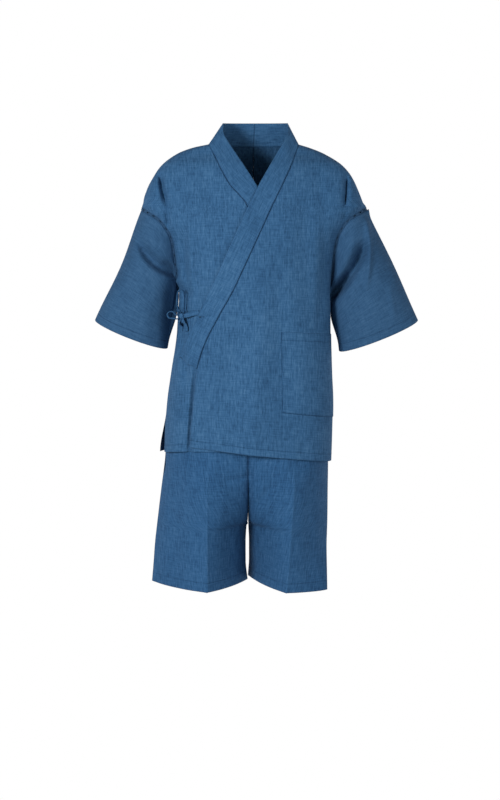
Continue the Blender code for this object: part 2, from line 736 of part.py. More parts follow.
def wall(name, grid, outside, inside, colour=INDIGO, ring=False, keep=None):
    """Closed wall from a grid of points and outward directions, with a rim round its edges."""
    bm = bmesh.new()
    rows = len(grid)
    columns = len(grid[0])
    skins = []
    for offset in (outside, inside):
        skins.append([[bm.verts.new(p + n * offset) for p, n in row] for row in grid])
    cells = {(i, j) for i in range(rows - 1) for j in range(columns if ring else columns - 1)}
    if keep:
        cells = {cell for cell in cells if keep(*cell)}

    def corner(skin, i, j):
        return skins[skin][i][j % columns]

    for i, j in sorted(cells):
        for skin in (0, 1):
            a, b, c, d = (corner(skin, *at) for at in ((i, j), (i, j + 1), (i + 1, j + 1), (i + 1, j)))
            bm.faces.new((a, b, c) if skin == 0 else (c, b, a))
            bm.faces.new((a, c, d) if skin == 0 else (d, c, a))
        around = (((i - 1, j), (i, j), (i, j + 1)), ((i + 1, j), (i + 1, j + 1), (i + 1, j)),
                  ((i, j - 1), (i + 1, j), (i, j)), ((i, j + 1), (i, j + 1), (i + 1, j + 1)))
        for (ni, nj), start, end in around:
            if ring:
                nj %= columns
            if (ni, nj) in cells:
                continue
            a, b = corner(0, *start), corner(0, *end)
            c, d = corner(1, *end), corner(1, *start)
            bm.faces.new((b, a, d))
            bm.faces.new((b, d, c))
    loose = [v for v in bm.verts if not v.link_faces]
    bmesh.ops.delete(bm, geom=loose, context="VERTS")
    bmesh.ops.recalc_face_normals(bm, faces=bm.faces)
    mesh = bpy.data.meshes.new(name)
    bm.to_mesh(mesh)
    bm.free()
    return add_object(name, mesh, colour)


def smooth_path(points, steps):
    """Points along a smooth curve through the given ones."""
    points = [Vector(p) for p in points]
    padded = [2 * points[0] - points[1]] + points + [2 * points[-1] - points[-2]]
    out = []
    for a, b, c, d in zip(padded, padded[1:], padded[2:], padded[3:]):
        for i in range(steps):
            t = i / steps
            out.append(0.5 * (2 * b + (c - a) * t + (2 * a - 5 * b + 4 * c - d) * t * t
                              + (3 * b - a - 3 * c + d) * t ** 3))
    out.append(points[-1])
    return out


def band(name, points, facing, width, thick, steps=3):
    """A flat band of cloth along a smooth path; facing is the way its flat side looks."""
    path = smooth_path(points, steps)
    facing = Vector(facing)
    rows = []
    for i, point in enumerate(path):
        tangent = path[min(i + 1, len(path) - 1)] - path[max(i - 1, 0)]
        across = tangent.cross(facing).normalized()
        normal = across.cross(tangent).normalized()
        if normal.dot(facing) < 0:
            normal.negate()
        rows.append([(point + across * width * part, normal) for part in (-0.5, 0.0, 0.5)])
    return wall(name, rows, 0.5 * thick, -0.5 * thick)


def on_front(x, z, out):
    """Point outside the under front at a place given in front view."""
    angle = angle_at(x, z)
    return body_point(z, angle) + body_normal(z, angle) * out


def knot_side(way, more=0.0):
    """Where a band leaves the knot, just clear of it, or a little further along its way."""
    way = Vector(way).normalized()
    return on_front(KNOT_X, KNOT_Z, KNOT_OUT) + way * (KNOT_RADIUS + KNOT_GAP + more)


def knot():
    bm = bmesh.new()
    bmesh.ops.create_icosphere(bm, subdivisions=2, radius=1.0)
    middle = on_front(KNOT_X, KNOT_Z, KNOT_OUT)
    for vert in bm.verts:
        lump = math.sin(5 * vert.co.x + 3 * vert.co.z)
        vert.co = middle + vert.co * KNOT_RADIUS * (1 - KNOT_UNEVEN + KNOT_UNEVEN * lump)
    mesh = bpy.data.meshes.new("tie_knot")
    bm.to_mesh(mesh)
    bm.free()
    return add_object("tie_knot", mesh, INDIGO)


def ties():
    """Two bands that meet in a small bow at the right hip."""
    knot()
    middle = on_front(KNOT_X, KNOT_Z, KNOT_OUT)
    look = body_normal(KNOT_Z, angle_at(KNOT_X, KNOT_Z))

    def leaving(way):
        return [knot_side(way), knot_side(way, KNOT_RUN)]

    def coming(way):
        return [knot_side(way, KNOT_RUN), knot_side(way)]

    collar_side = [on_front(x, z, out) for x, z, out in
                   ((-0.1225, -0.3690, TIE_CLEAR), (-0.1270, -0.3725, TIE_CLEAR + 0.0008))]
    band("tie_over", collar_side + coming((0.62, -0.78, 0.12)), look, 0.009, TIE_THICK)
    seam_side = [on_front(x, z, out) for x, z, out in
                 ((-0.1690, -0.3640, 0.0030), (-0.1655, -0.3690, 0.0040))]
    band("tie_side", seam_side + coming((-0.62, 0.76, 0.20)), look, 0.008, TIE_THICK)

    def near_knot(points):
        return [middle + Vector(point) for point in points]

    low = leaving((-1.0, -0.35, 0.22))
    low += near_knot(((-0.0190, -0.0060, 0.0060), (-0.0250, -0.0050, 0.0010), (-0.0215, -0.0060, -0.0055)))
    low += coming((-0.85, -0.45, -0.50))
    band("tie_loop_low", low, (0.0, -1.0, 0.0), 0.006, TIE_THICK)
    tall = leaving((-0.40, -0.55, 1.0))
    tall += near_knot(((-0.0080, -0.0040, 0.0240), (-0.0095, -0.0015, 0.0420), (-0.0040, 0.0000, 0.0540),
                       (0.0030, -0.0010, 0.0420), (0.0050, -0.0040, 0.0240)))
    tall += coming((0.45, -0.60, 1.0))
    band("tie_loop_tall", tall, (0.0, -1.0, 0.0), 0.006, TIE_THICK)
    ends = (("tie_end_front", (0.22, -0.45, -1.0), (0.0045, -0.0050, -0.0200), (0.0060, -0.0020, -0.0330)),
            ("tie_end_side", (-0.65, 0.05, -1.0), (-0.0090, 0.0030, -0.0190), (-0.0110, 0.0050, -0.0310)))
    for name, way, lower, tip in ends:
        band(name, leaving(way) + near_knot((lower, tip)), look, 0.007, TIE_THICK)


def main():
    for old in list(bpy.data.objects):
        bpy.data.objects.remove(old, do_unlink=True)

    over = front_grid("over")
    wall("front_left", over, 0.0, -WALL)
    wall("front_right", front_grid("under"), 0.0, -WALL)
    wall("back_left", back_grid(1), 0.0, -WALL)
    wall("back_right", back_grid(-1), 0.0, -WALL)

    half = 0.5 * COLLAR_THICK
    wall("collar_left", with_normals(collar_points("over"), -1), half, -half)
    wall("collar_right", with_normals(collar_points("under"), 1), half - UNDER_TRIM, -half)

    top = ROWS.index(POCKET_TOP_SHARE)
    bottom = ROWS.index(SLIT_SHARE)
    pocket = [row[COLUMNS_TO_ANCHOR:] for row in over[top:bottom + 1]]
    wall("pocket", pocket, SEAM + POCKET_THICK, SEAM)

    for facing, hand in ((-1, "right"), (1, "left")):
        wall("sleeve_" + hand, sleeve_grid(facing), 0.0, -WALL)
        for side in ("front", "back"):
            wall("lace_%s_%s" % (side, hand), lace_grid(facing, side), 0.0, -LACE_THICK, DEEP_INDIGO,
                 keep=lambda i, j: j != 1 or i % 2 == 1)

    for leg, facing, hand in ((LEG_RIGHT, -1, "right"), (LEG_LEFT, 1, "left")):
        for side in ("front", "back"):
            wall("shorts_%s_%s" % (side, hand), leg_grid(leg, facing, side), 0.0, -WALL)
    wall("waistband", waistband_grid(), 0.0, -WAISTBAND_THICK, ring=True)
    ties()


main()
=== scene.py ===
"""Looks of the jinbei set: cut cloth with its folds and weave, lace, ties, stitches, light, camera.

Metres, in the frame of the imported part: the front faces -Y and the wearer's left is +X.
"""
from bisect import bisect_right
from math import asin, atan2, ceil, copysign, cos, degrees, exp, hypot, pi, radians, sin

import bmesh
import bpy
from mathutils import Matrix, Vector, noise


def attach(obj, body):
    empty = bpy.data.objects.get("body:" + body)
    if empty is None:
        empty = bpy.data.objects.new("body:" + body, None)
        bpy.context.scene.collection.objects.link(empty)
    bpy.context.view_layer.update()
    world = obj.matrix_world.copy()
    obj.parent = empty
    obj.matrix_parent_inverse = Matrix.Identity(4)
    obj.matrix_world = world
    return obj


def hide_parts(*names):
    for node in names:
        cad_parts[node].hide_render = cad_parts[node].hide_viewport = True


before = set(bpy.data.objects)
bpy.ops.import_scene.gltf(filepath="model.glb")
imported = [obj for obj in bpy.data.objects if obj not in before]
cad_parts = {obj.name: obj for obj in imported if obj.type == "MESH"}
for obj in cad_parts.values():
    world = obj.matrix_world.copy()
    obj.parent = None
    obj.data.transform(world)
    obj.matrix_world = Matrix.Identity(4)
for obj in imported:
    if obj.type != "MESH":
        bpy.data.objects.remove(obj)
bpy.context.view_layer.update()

CELL = 0.0040     # largest cell of a cloth piece
WALL = 0.0014            # thickness of a single cloth wall
SEAM = 0.00001           # gap between two pieces, where the stitches draw them together
SLIT = 0.0012            # gap between front and back at the side slit
COLLAR_THICK = 0.0026
UNDER_TRIM = 0.0006      # the under collar is this much thinner
POCKET_THICK = 0.0013
WAISTBAND_THICK = 0.0025
ROUND = 0.45             # share of the thickness by which a folded edge is rounded
LIFT = 0.0036            # how far the over front lies outside the under front
EDGE_LIFT = 0.0035       # how much more its free edge stands off
SQUARE = 0.12            # how much fuller than an ellipse a section of the jacket is
FAR = 1.0                # distance given to a piece for a line that it doesn't have

ARM_TOP = -0.139
UNDERARM = -0.325
SLIT_SHARE = 0.725       # the side slit starts this far down from underarm to hem
COLLAR_END_SHARE = 0.487
POCKET_TOP_SHARE = 0.24
POCKET_ANGLE = 20.0      # angle of the pocket's inner edge round the section
SIDE_SAG = 0.008         # how much lower the rows run at the sides
SLIT_FLARE = 0.010       # how far the back stands out at the open slit
HEM_DEEP = 0.016         # from the hem up to its stitches
CUFF_DEEP = 0.018
SHORTS_HEM_DEEP = 0.021
POCKET_HEM_DEEP = 0.018

LACE_CELLS = 12
LACE_START = 0.005       # shares of the way round at which the lace starts and ends
LACE_END = 1.0
LACE_GAP = 0.0002        # between the edge of the cloth and the lace
LACE_DRAWN = 0.60        # the worn lace is drawn together to this share of its width
DROP = 0.372             # from the underarm to the hem, about
BESIDE = 0.002           # the rows beside a line of stitches are this far from it
SIDE_FROM = 0.8          # sine of the angle from which the folds of the side act
SIDE_ARC = 0.003         # metres round the side in one degree
RIPPLE = 0.0016          # height of the small uneven rise and fall of the cloth
SLEEVE_RIPPLE = 0.0012
FOLD_PAST = 0.2          # a fold dies away over this share of its length past each end
FOLD_REACH = 1.4         # and this many of its widths to each side
TIP_REACH = 0.007        # how far above and below its top the shoulder's corner reaches
EDGE_REACH = 0.022       # how far from the free edge the over front stands off

# Cells across the panels
TO_ANCHOR = int(0.200 / CELL)
TO_SIDE = int(0.225 / CELL)
BACK_COLUMNS = int(0.250 / CELL)
COLLAR_COLUMNS = int(0.060 / CELL)
SLEEVE_ROWS = int(0.250 / CELL)
ARM_CELLS = 5            # cells between two steps of the armhole
LEG_COLUMNS = int(0.135 / CELL)


class Curve:
    """A smooth curve through the rows of a table that never overshoots them."""

    def __init__(self, keys, values):
        self.keys = keys
        self.values = values
        slopes = [(b - a) / (q - p) for a, b, p, q in zip(values, values[1:], keys, keys[1:])]
        inner = [0.0 if a * b <= 0 else 2 * a * b / (a + b) for a, b in zip(slopes, slopes[1:])]
        self.tangents = [slopes[0]] + inner + [slopes[-1]]

    def __call__(self, at):
        at = min(max(at, self.keys[0]), self.keys[-1])
        i = min(bisect_right(self.keys, at), len(self.keys) - 1) - 1
        span = self.keys[i + 1] - self.keys[i]
        t = (at - self.keys[i]) / span
        rise = self.values[i + 1] - self.values[i]
        start = self.tangents[i] * span
        end = self.tangents[i + 1] * span
        bend = 3 * rise - 2 * start - end
        return self.values[i] + t * (start + t * (bend + t * (start + end - 2 * rise)))


def table(columns, *rows):
    """One curve for each named column, over the values of the first column."""
    rows = sorted(rows)
    keys = [row[0] for row in rows]
    return {name: Curve(keys, [row[i] for row in rows])
            for i, name in enumerate(columns.split()) if i}


# Horizontal sections of the jacket: half width on each side, depth in front and behind
BODY = table(
    "z right left front back",
    (0.000, 0.0995, 0.0995, 0.050, 0.072),
    (-0.008, 0.1375, 0.1260, 0.052, 0.078),
    (-0.021, 0.1710, 0.1580, 0.057, 0.085),
    (-0.048, 0.2070, 0.2000, 0.083, 0.099),
    (-0.074, 0.2250, 0.2210, 0.098, 0.106),
    (-0.101, 0.2390, 0.2340, 0.110, 0.112),
    (-0.128, 0.2465, 0.2445, 0.118, 0.116),
    (-0.139, 0.2465, 0.2475, 0.120, 0.117),
    (-0.150, 0.2420, 0.2440, 0.122, 0.118),
    (-0.174, 0.2205, 0.2220, 0.126, 0.119),
    (-0.208, 0.1930, 0.1960, 0.130, 0.120),
    (-0.250, 0.1800, 0.1830, 0.132, 0.119),
    (-0.325, 0.1680, 0.1735, 0.134, 0.113),
    (-0.400, 0.1720, 0.1740, 0.135, 0.108),
    (-0.505, 0.1870, 0.1770, 0.138, 0.112),
    (-0.574, 0.1960, 0.1800, 0.141, 0.118),
    (-0.640, 0.2010, 0.1790, 0.144, 0.126),
    (-0.720, 0.2035, 0.1767, 0.146, 0.132),
)

# Half width that the chest and the back follow between the armholes, clear of the shoulder caps
CHEST = table(
    "z right left",
    (0.000, 0.0995, 0.0995),
    (-0.008, 0.1300, 0.1220),
    (-0.021, 0.1580, 0.1500),
    (-0.048, 0.1880, 0.1840),
    (-0.074, 0.2020, 0.2000),
    (-0.101, 0.2090, 0.2080),
    (-0.139, 0.2100, 0.2110),
    (-0.174, 0.2040, 0.2060),
    (-0.208, 0.1930, 0.1960),
    (-0.250, 0.1800, 0.1830),
    (-0.325, 0.1680, 0.1735),
)
CHEST_TURN = 36.0        # CHEST holds up to this angle from the middle, and BODY from CAP_TURN on
CAP_TURN = 66.0
CAP_TIP = {"right": 0.0035, "left": 0.0050}     # the shoulder's corner above the lace

# Armhole edge from its top down to the underarm: step, height, angle round the section, how far
# down the lace points where it leaves the edge, and the lace's width
ARMHOLE_ROWS = (
    (0, -0.1390, 90.0, 78.0, 0.0090),
    (1, -0.1445, 80.5, 70.0, 0.0090),
    (2, -0.1510, 73.5, 60.0, 0.0085),
    (3, -0.1580, 69.0, 50.0, 0.0075),
    (4, -0.1660, 66.5, 41.0, 0.0065),
    (5, -0.1760, 66.0, 34.0, 0.0060),
    (6, -0.1890, 67.0, 30.0, 0.0060),
    (7, -0.2060, 69.5, 27.0, 0.0060),
    (8, -0.2270, 72.0, 25.0, 0.0060),
    (9, -0.2500, 75.0, 24.0, 0.0060),
    (10, -0.2740, 79.0, 24.0, 0.0060),
    (11, -0.3000, 84.0, 24.0, 0.0060),
    (12, -0.3250, 90.0, 24.0, 0.0060),
)
ARMHOLE = table("step z angle droop lace", *ARMHOLE_ROWS)
ARMHOLE_ANGLE = table("z angle", *[row[1:3] for row in ARMHOLE_ROWS])["angle"]
ARM_STEPS = ARMHOLE_ROWS[-1][0]

# Collar seam of each front, and below the collar the front's free edge
FRONT_EDGE = table(
    "z over under",
    (0.000, 0.0995, -0.0995),
    (-0.035, 0.0890, -0.0830),
    (-0.058, 0.0800, -0.0720),
    (-0.090, 0.0655, -0.0545),
    (-0.133, 0.0445, -0.0180),
    (-0.200, 0.0137, 0.0130),
    (-0.300, -0.0322, 0.0490),
    (-0.4924, -0.1204, 0.1180),
    (-0.600, -0.1310, 0.1290),
    (-0.720, -0.1420, 0.1380),
)

# Free edge of the collar band beside each height of its seam
COLLAR = {
    "over": table(
        "seam_z x y z",
        (0.000, 0.0749, 0.000, 0.0470),
        (-0.015, 0.0745, -0.025, 0.0260),
        (-0.035, 0.0655, -0.050, 0.0020),
        (-0.058, 0.0515, -0.072, -0.0230),
        (-0.085, 0.0350, -0.092, -0.0530),
        (-0.133, 0.0060, -0.113, -0.1055),
        (-0.300, -0.0735, -0.125, -0.2810),
        (-0.4924, -0.1600, -0.110, -0.4737),
    ),
    "under": table(
        "seam_z x y z",
        (0.000, -0.0675, 0.000, 0.0470),
        (-0.015, -0.0665, -0.025, 0.0260),
        (-0.035, -0.0530, -0.052, -0.0010),
        (-0.058, -0.0385, -0.073, -0.0240),
        (-0.090, -0.0180, -0.093, -0.0550),
        (-0.133, 0.0110, -0.112, -0.1030),
        (-0.300, 0.0920, -0.125, -0.2790),
        (-0.4924, 0.1580, -0.110, -0.4730),
    ),
}
COLLAR_WIDTH = 0.045
NAPE_LAP = 0.0012        # the collar covers the edge of the body cloth by this much at the neck
CHEST_GAP = 0.0001       # and stays clear of it by this much on the chest
NAPE_Y = 0.062
NAPE_Z = 0.052
RIM_MIDDLE = 0.0037      # x of the collar's free edge at the nape, and at its two sides
RIM_X = {1: 0.0749, -1: 0.0675}
RIM_SIDE_Z = 0.047

# Hem height round the section, on the over front and back, and on the under front
HEM = table(
    "angle over under",
    (-180.0, -0.6970, -0.6970),
    (-90.0, -0.6910, -0.6910),
    (-45.0, -0.6690, -0.6790),
    (0.0, -0.6825, -0.6740),
    (45.0, -0.6980, -0.6740),
    (90.0, -0.7090, -0.6900),
    (180.0, -0.6970, -0.6970),
)

# Rows of the jacket's panels: heights down to the armhole, and shares of the way below it
SHOULDER_ROWS = (0.0, -0.004, -0.011, -0.021, -0.034, -0.048, -0.066, -0.085, -0.104, -0.122)
FRONT_START = -0.0003    # the fronts start just below the shoulder seam
LOWER_SHARES = (0.08, 0.16, 0.24, 0.32, 0.40, 0.487, 0.565, 0.645, 0.725, 0.80, 0.87, 0.935, 1.0)

# Sleeve cuffs: outer and inner corner and half depth. Half-way down, hollow draws the top fold in,
# and at the inner line lean draws the cloth to the body.
CUFFS = {
    -1: dict(outer=(-0.358, -0.392), inner=(-0.1940, -0.4555), depth=0.055,
             hollow=0.007, lean=0.0075),
    1: dict(outer=(0.3717, -0.392), inner=(0.1935, -0.4620), depth=0.058,
            hollow=-0.003, lean=0.010),
}
PROUD = 0.0045           # how far the left sleeve's top fold stands out at its head
SLEEVE_BELLY = 0.010     # how much fuller a sleeve is half-way down
CUFF_SAG = 0.008         # how far the cuff hangs below the line between its corners
SLEEVE_CLEAR = 0.0004    # between the sleeve and the side of the body below the armhole

# Sections of each leg of the shorts: side seam, front crease, inner seam and back crease
LEG_NAMES = "z side_x side_y crease_x crease_y inner_x front_y back_y rear_x rear_y full"
LEGS = {
    -1: table(
        LEG_NAMES,
        (-0.515, -0.158, 0.000, -0.082, -0.094, -0.008, -0.106, 0.106, -0.082, 0.094, 0.80),
        (-0.600, -0.181, 0.000, -0.095, -0.112, -0.010, -0.117, 0.113, -0.092, 0.113, 0.75),
        (-0.660, -0.1972, 0.000, -0.100, -0.124, -0.011, -0.119, 0.116, -0.095, 0.121, 0.65),
        (-0.711, -0.2020, 0.000, -0.102, -0.130, -0.012, -0.114, 0.117, -0.097, 0.126, 0.60),
        (-0.780, -0.2110, 0.000, -0.103, -0.132, -0.012, -0.088, 0.100, -0.099, 0.128, 0.55),
        (-0.820, -0.2160, 0.000, -0.103, -0.132, -0.012, -0.060, 0.072, -0.100, 0.129, 0.52),
        (-0.845, -0.2190, 0.000, -0.103, -0.132, -0.013, -0.030, 0.038, -0.101, 0.130, 0.50),
        (-0.857, -0.2205, 0.000, -0.103, -0.132, -0.015, 0.003, 0.003, -0.102, 0.130, 0.48),
        (-0.900, -0.2255, 0.000, -0.103, -0.131, -0.0175, 0.008, 0.008, -0.104, 0.131, 0.42),
        (-0.945, -0.2290, 0.000, -0.103, -0.130, -0.0174, 0.013, 0.013, -0.106, 0.132, 0.36),
        (-0.990, -0.2330, 0.000, -0.103, -0.130, -0.0130, 0.018, 0.018, -0.110, 0.133, 0.32),
    ),
    1: table(
        LEG_NAMES,
        (-0.515, 0.142, 0.000, 0.068, -0.094, -0.008, -0.106, 0.106, 0.066, 0.094, 0.80),
        (-0.600, 0.160, 0.000, 0.085, -0.112, -0.010, -0.117, 0.113, 0.080, 0.113, 0.75),
        (-0.660, 0.1685, -0.002, 0.089, -0.125, -0.011, -0.119, 0.116, 0.084, 0.121, 0.65),
        (-0.711, 0.1700, -0.006, 0.091, -0.131, -0.012, -0.114, 0.117, 0.087, 0.126, 0.60),
        (-0.780, 0.1690, -0.014, 0.087, -0.132, -0.012, -0.088, 0.100, 0.090, 0.128, 0.55),
        (-0.820, 0.1685, -0.020, 0.085, -0.132, -0.012, -0.060, 0.072, 0.093, 0.128, 0.52),
        (-0.845, 0.1680, -0.025, 0.083, -0.132, -0.012, -0.030, 0.038, 0.095, 0.128, 0.50),
        (-0.857, 0.1675, -0.028, 0.082, -0.131, -0.012, 0.003, 0.003, 0.096, 0.128, 0.48),
        (-0.900, 0.1660, -0.037, 0.079, -0.129, -0.0104, 0.020, 0.020, 0.099, 0.128, 0.42),
        (-0.945, 0.1665, -0.047, 0.076, -0.127, -0.0104, 0.033, 0.033, 0.102, 0.127, 0.36),
        (-0.990, 0.1670, -0.058, 0.072, -0.125, -0.0130, 0.045, 0.045, 0.105, 0.126, 0.32),
    ),
}
LEG_TOP = -0.515
LEG_HEM = -0.990
CROTCH = -0.857
CROTCH_X = -0.012
LEFT_HEM_TILT = 0.008    # how much lower the left leg's hem is at its side
TUCK = 0.0022            # the shorts stay this far inside the jacket's cloth
TUCK_BELOW = -0.712      # down to here, and less and less over the next TUCK_EASE
TUCK_EASE = 0.040
WAIST_TOP = -0.488
WAIST_ROWS = 8
WAIST_IN = 0.025         # share by which the elastic draws the top of the waistband in
GATHER = 0.0016          # depth of its gathers
CREASE = 0.0014          # how far the ironed crease of a leg stands out

# Folds, each a line in front view (or round the side) that is pressed in, or raised where depth
# is below zero. bow bends the line, lean widens its flank on the right of the way it runs.
# start x, z, end x, z, bow, width, lean, depth
FRONT_FOLDS = (
    (-0.2075, -0.072, -0.1935, -0.136, 0.002, 0.017, 0.45, 0.023),
    (-0.1935, -0.140, -0.1890, -0.184, 0.000, 0.012, 0.5, 0.009),
    (0.2040, -0.076, 0.2015, -0.138, -0.002, 0.011, 1.4, 0.021),
    (0.2110, -0.092, 0.2090, -0.142, 0.000, 0.009, 1.0, -0.0045),
    (0.2005, -0.140, 0.1975, -0.170, 0.000, 0.008, 1.0, 0.004),
    (-0.152, -0.190, -0.146, -0.316, 0.004, 0.015, 1.3, 0.010),
    (-0.138, -0.205, -0.134, -0.318, 0.000, 0.013, 1.0, -0.005),
    (-0.126, -0.235, -0.122, -0.340, -0.003, 0.012, 1.2, 0.005),
    (-0.112, -0.250, -0.104, -0.330, -0.002, 0.012, 1.0, 0.0025),
    (-0.168, -0.294, -0.138, -0.304, 0.004, 0.018, 1.0, -0.006),
    (-0.165, -0.317, -0.134, -0.331, 0.003, 0.014, 1.6, 0.009),
    (-0.1540, -0.330, -0.1530, -0.362, 0.000, 0.012, 1.0, 0.009),
    (-0.1290, -0.500, -0.1445, -0.700, 0.000, 0.014, 0.55, 0.012),
    (-0.164, -0.400, -0.149, -0.530, -0.004, 0.018, 1.0, 0.010),
    (-0.119, -0.381, -0.086, -0.377, 0.002, 0.008, 1.3, 0.0025),
    (-0.117, -0.394, -0.094, -0.404, 0.002, 0.008, 1.3, 0.0018),
    (-0.028, -0.330, -0.050, -0.700, 0.010, 0.050, 1.2, 0.0055),
    (0.046, -0.230, 0.062, -0.700, -0.008, 0.060, 0.8, 0.0055),
    (0.008, -0.420, 0.000, -0.700, 0.004, 0.040, 1.0, -0.0035),
    (0.112, -0.120, 0.126, -0.430, 0.008, 0.044, 1.3, 0.0060),
    (0.152, -0.190, 0.142, -0.400, -0.006, 0.022, 1.0, 0.0055),
    (-0.110, -0.060, -0.076, -0.240, -0.005, 0.044, 1.0, 0.0050),
    (-0.150, -0.080, -0.135, -0.180, 0.004, 0.030, 1.0, 0.0030),
    (0.140, -0.060, 0.158, -0.170, 0.004, 0.030, 1.0, 0.0030),
    (-0.095, -0.560, -0.088, -0.700, 0.003, 0.030, 1.0, 0.0025),
    (0.100, -0.600, 0.112, -0.710, 0.003, 0.036, 1.0, 0.0030),
)
BACK_FOLDS = (
    (-0.190, -0.085, -0.178, -0.262, 0.005, 0.024, 1.8, 0.015),
    (0.192, -0.080, 0.175, -0.272, -0.005, 0.032, 0.6, 0.015),
    (-0.158, -0.120, -0.140, -0.300, 0.006, 0.026, 1.2, 0.006),
    (0.162, -0.140, 0.138, -0.330, -0.006, 0.024, 1.2, 0.006),
    (-0.070, -0.180, -0.105, -0.640, 0.012, 0.060, 1.0, 0.007),
    (0.085, -0.210, 0.110, -0.660, -0.010, 0.055, 1.2, 0.007),
    (-0.030, -0.260, -0.052, -0.560, 0.006, 0.034, 1.0, -0.003),
    (0.034, -0.300, 0.058, -0.690, -0.006, 0.040, 0.8, 0.004),
    (-0.110, -0.330, -0.165, -0.350, 0.003, 0.014, 1.4, 0.005),
    (-0.085, -0.352, -0.150, -0.378, -0.003, 0.012, 1.2, 0.0035),
    (0.120, -0.318, 0.168, -0.300, 0.003, 0.014, 1.2, 0.004),
    (-0.140, -0.400, -0.160, -0.660, 0.008, 0.040, 1.0, 0.005),
    (0.145, -0.380, 0.150, -0.600, 0.006, 0.036, 1.0, 0.004),
    (-0.012, -0.060, -0.060, -0.110, 0.003, 0.020, 1.0, 0.0025),
    (0.016, -0.055, 0.070, -0.100, -0.003, 0.024, 1.0, 0.0030),
)
# Round the sides the line runs over arc metres from the side seam, forward below zero
SIDE_FOLDS = {
    -1: (
        (-0.040, -0.302, 0.035, -0.308, 0.002, 0.015, 1.0, -0.006),
        (-0.045, -0.320, 0.045, -0.326, 0.000, 0.011, 1.5, 0.0005),
        (-0.030, -0.345, 0.050, -0.352, 0.003, 0.012, 1.0, 0.0005),
        (0.000, -0.372, 0.062, -0.392, 0.004, 0.012, 1.4, 0.004),
        (0.006, -0.390, 0.018, -0.560, 0.004, 0.024, 1.0, 0.006),
        (-0.022, -0.430, -0.014, -0.600, 0.003, 0.022, 1.0, 0.004),
    ),
    1: (
        (-0.030, -0.338, 0.046, -0.330, 0.003, 0.013, 1.4, 0.0015),
        (-0.012, -0.356, 0.040, -0.362, -0.002, 0.011, 1.0, 0.0012),
        (-0.036, -0.400, -0.030, -0.560, 0.003, 0.030, 1.0, 0.003),
        (0.020, -0.420, 0.026, -0.640, 0.004, 0.030, 1.0, 0.005),
    ),
}
SLEEVE_FOLDS = {
    ("front", -1): (
        (-0.254, -0.222, -0.170, -0.292, 0.012, 0.036, 0.40, 0.027),
        (-0.200, -0.262, -0.172, -0.294, 0.000, 0.022, 0.8, 0.008),
        (-0.182, -0.305, -0.192, -0.450, 0.000, 0.032, 1.0, 0.013),
        (-0.285, -0.300, -0.262, -0.420, 0.006, 0.044, 1.0, 0.003),
        (-0.332, -0.290, -0.324, -0.385, 0.003, 0.024, 1.0, -0.0015),
        (-0.208, -0.340, -0.220, -0.440, 0.004, 0.026, 1.0, 0.003),
    ),
    ("front", 1): (
        (0.2496, -0.153, 0.2500, -0.308, -0.0066, 0.013, 1.0, -0.011),
        (0.246, -0.226, 0.176, -0.345, -0.008, 0.014, 2.2, 0.036),
        (0.212, -0.290, 0.176, -0.342, -0.003, 0.012, 2.0, 0.022),
        (0.222, -0.212, 0.200, -0.262, 0.000, 0.030, 1.0, -0.004),
        (0.284, -0.190, 0.292, -0.310, -0.004, 0.030, 1.0, 0.0025),
        (0.302, -0.312, 0.313, -0.388, 0.000, 0.016, 1.0, -0.0025),
        (0.232, -0.340, 0.226, -0.440, 0.003, 0.030, 1.0, 0.003),
        (0.330, -0.300, 0.348, -0.384, 0.003, 0.020, 1.0, 0.002),
    ),
    ("back", -1): (
        (-0.256, -0.196, -0.172, -0.306, 0.008, 0.026, 1.2, 0.011),
        (-0.300, -0.250, -0.262, -0.420, 0.006, 0.034, 1.0, 0.005),
        (-0.214, -0.320, -0.226, -0.440, 0.004, 0.022, 1.0, 0.004),
        (-0.322, -0.280, -0.320, -0.390, 0.003, 0.024, 1.0, -0.003),
    ),
    ("back", 1): (
        (0.262, -0.210, 0.178, -0.330, -0.009, 0.026, 0.6, 0.013),
        (0.296, -0.230, 0.292, -0.400, 0.006, 0.034, 1.0, 0.005),
        (0.228, -0.330, 0.214, -0.445, 0.004, 0.022, 1.0, 0.004),
        (0.334, -0.300, 0.340, -0.392, 0.003, 0.022, 1.0, -0.003),
    ),
}
LEG_FOLDS = {
    "front": (
        (-0.0045, -0.690, -0.0110, -0.846, 0.000, 0.013, 1.0, 0.008),
        (-0.062, -0.739, -0.006, -0.731, 0.003, 0.011, 1.0, 0.003),
        (-0.018, -0.812, -0.074, -0.738, 0.004, 0.016, 1.4, 0.0035),
        (-0.004, -0.806, 0.046, -0.744, 0.004, 0.016, 1.2, 0.0035),
        (-0.160, -0.690, -0.174, -0.940, 0.006, 0.036, 1.0, 0.004),
        (-0.052, -0.800, -0.050, -0.960, 0.004, 0.030, 1.0, 0.004),
        (0.036, -0.730, 0.030, -0.950, 0.005, 0.032, 1.0, 0.004),
        (0.126, -0.720, 0.130, -0.950, 0.005, 0.032, 1.0, 0.003),
        (0.100, -0.930, 0.150, -0.962, 0.003, 0.014, 1.0, 0.002),
        (-0.196, -0.800, -0.150, -0.860, 0.004, 0.020, 1.0, 0.002),
    ),
    "back": (
        (-0.020, -0.820, -0.100, -0.735, 0.006, 0.022, 1.3, 0.006),
        (0.002, -0.815, 0.084, -0.742, 0.006, 0.022, 1.3, 0.006),
        (-0.028, -0.850, -0.120, -0.810, 0.004, 0.018, 1.3, 0.004),
        (0.008, -0.848, 0.100, -0.820, 0.004, 0.018, 1.3, 0.004),
        (-0.165, -0.700, -0.180, -0.950, 0.006, 0.040, 1.0, 0.005),
        (0.130, -0.720, 0.136, -0.940, 0.005, 0.034, 1.0, 0.004),
        (-0.060, -0.870, -0.064, -0.980, 0.004, 0.028, 1.0, 0.004),
        (0.050, -0.860, 0.058, -0.975, 0.004, 0.028, 1.0, 0.003),
    ),
}

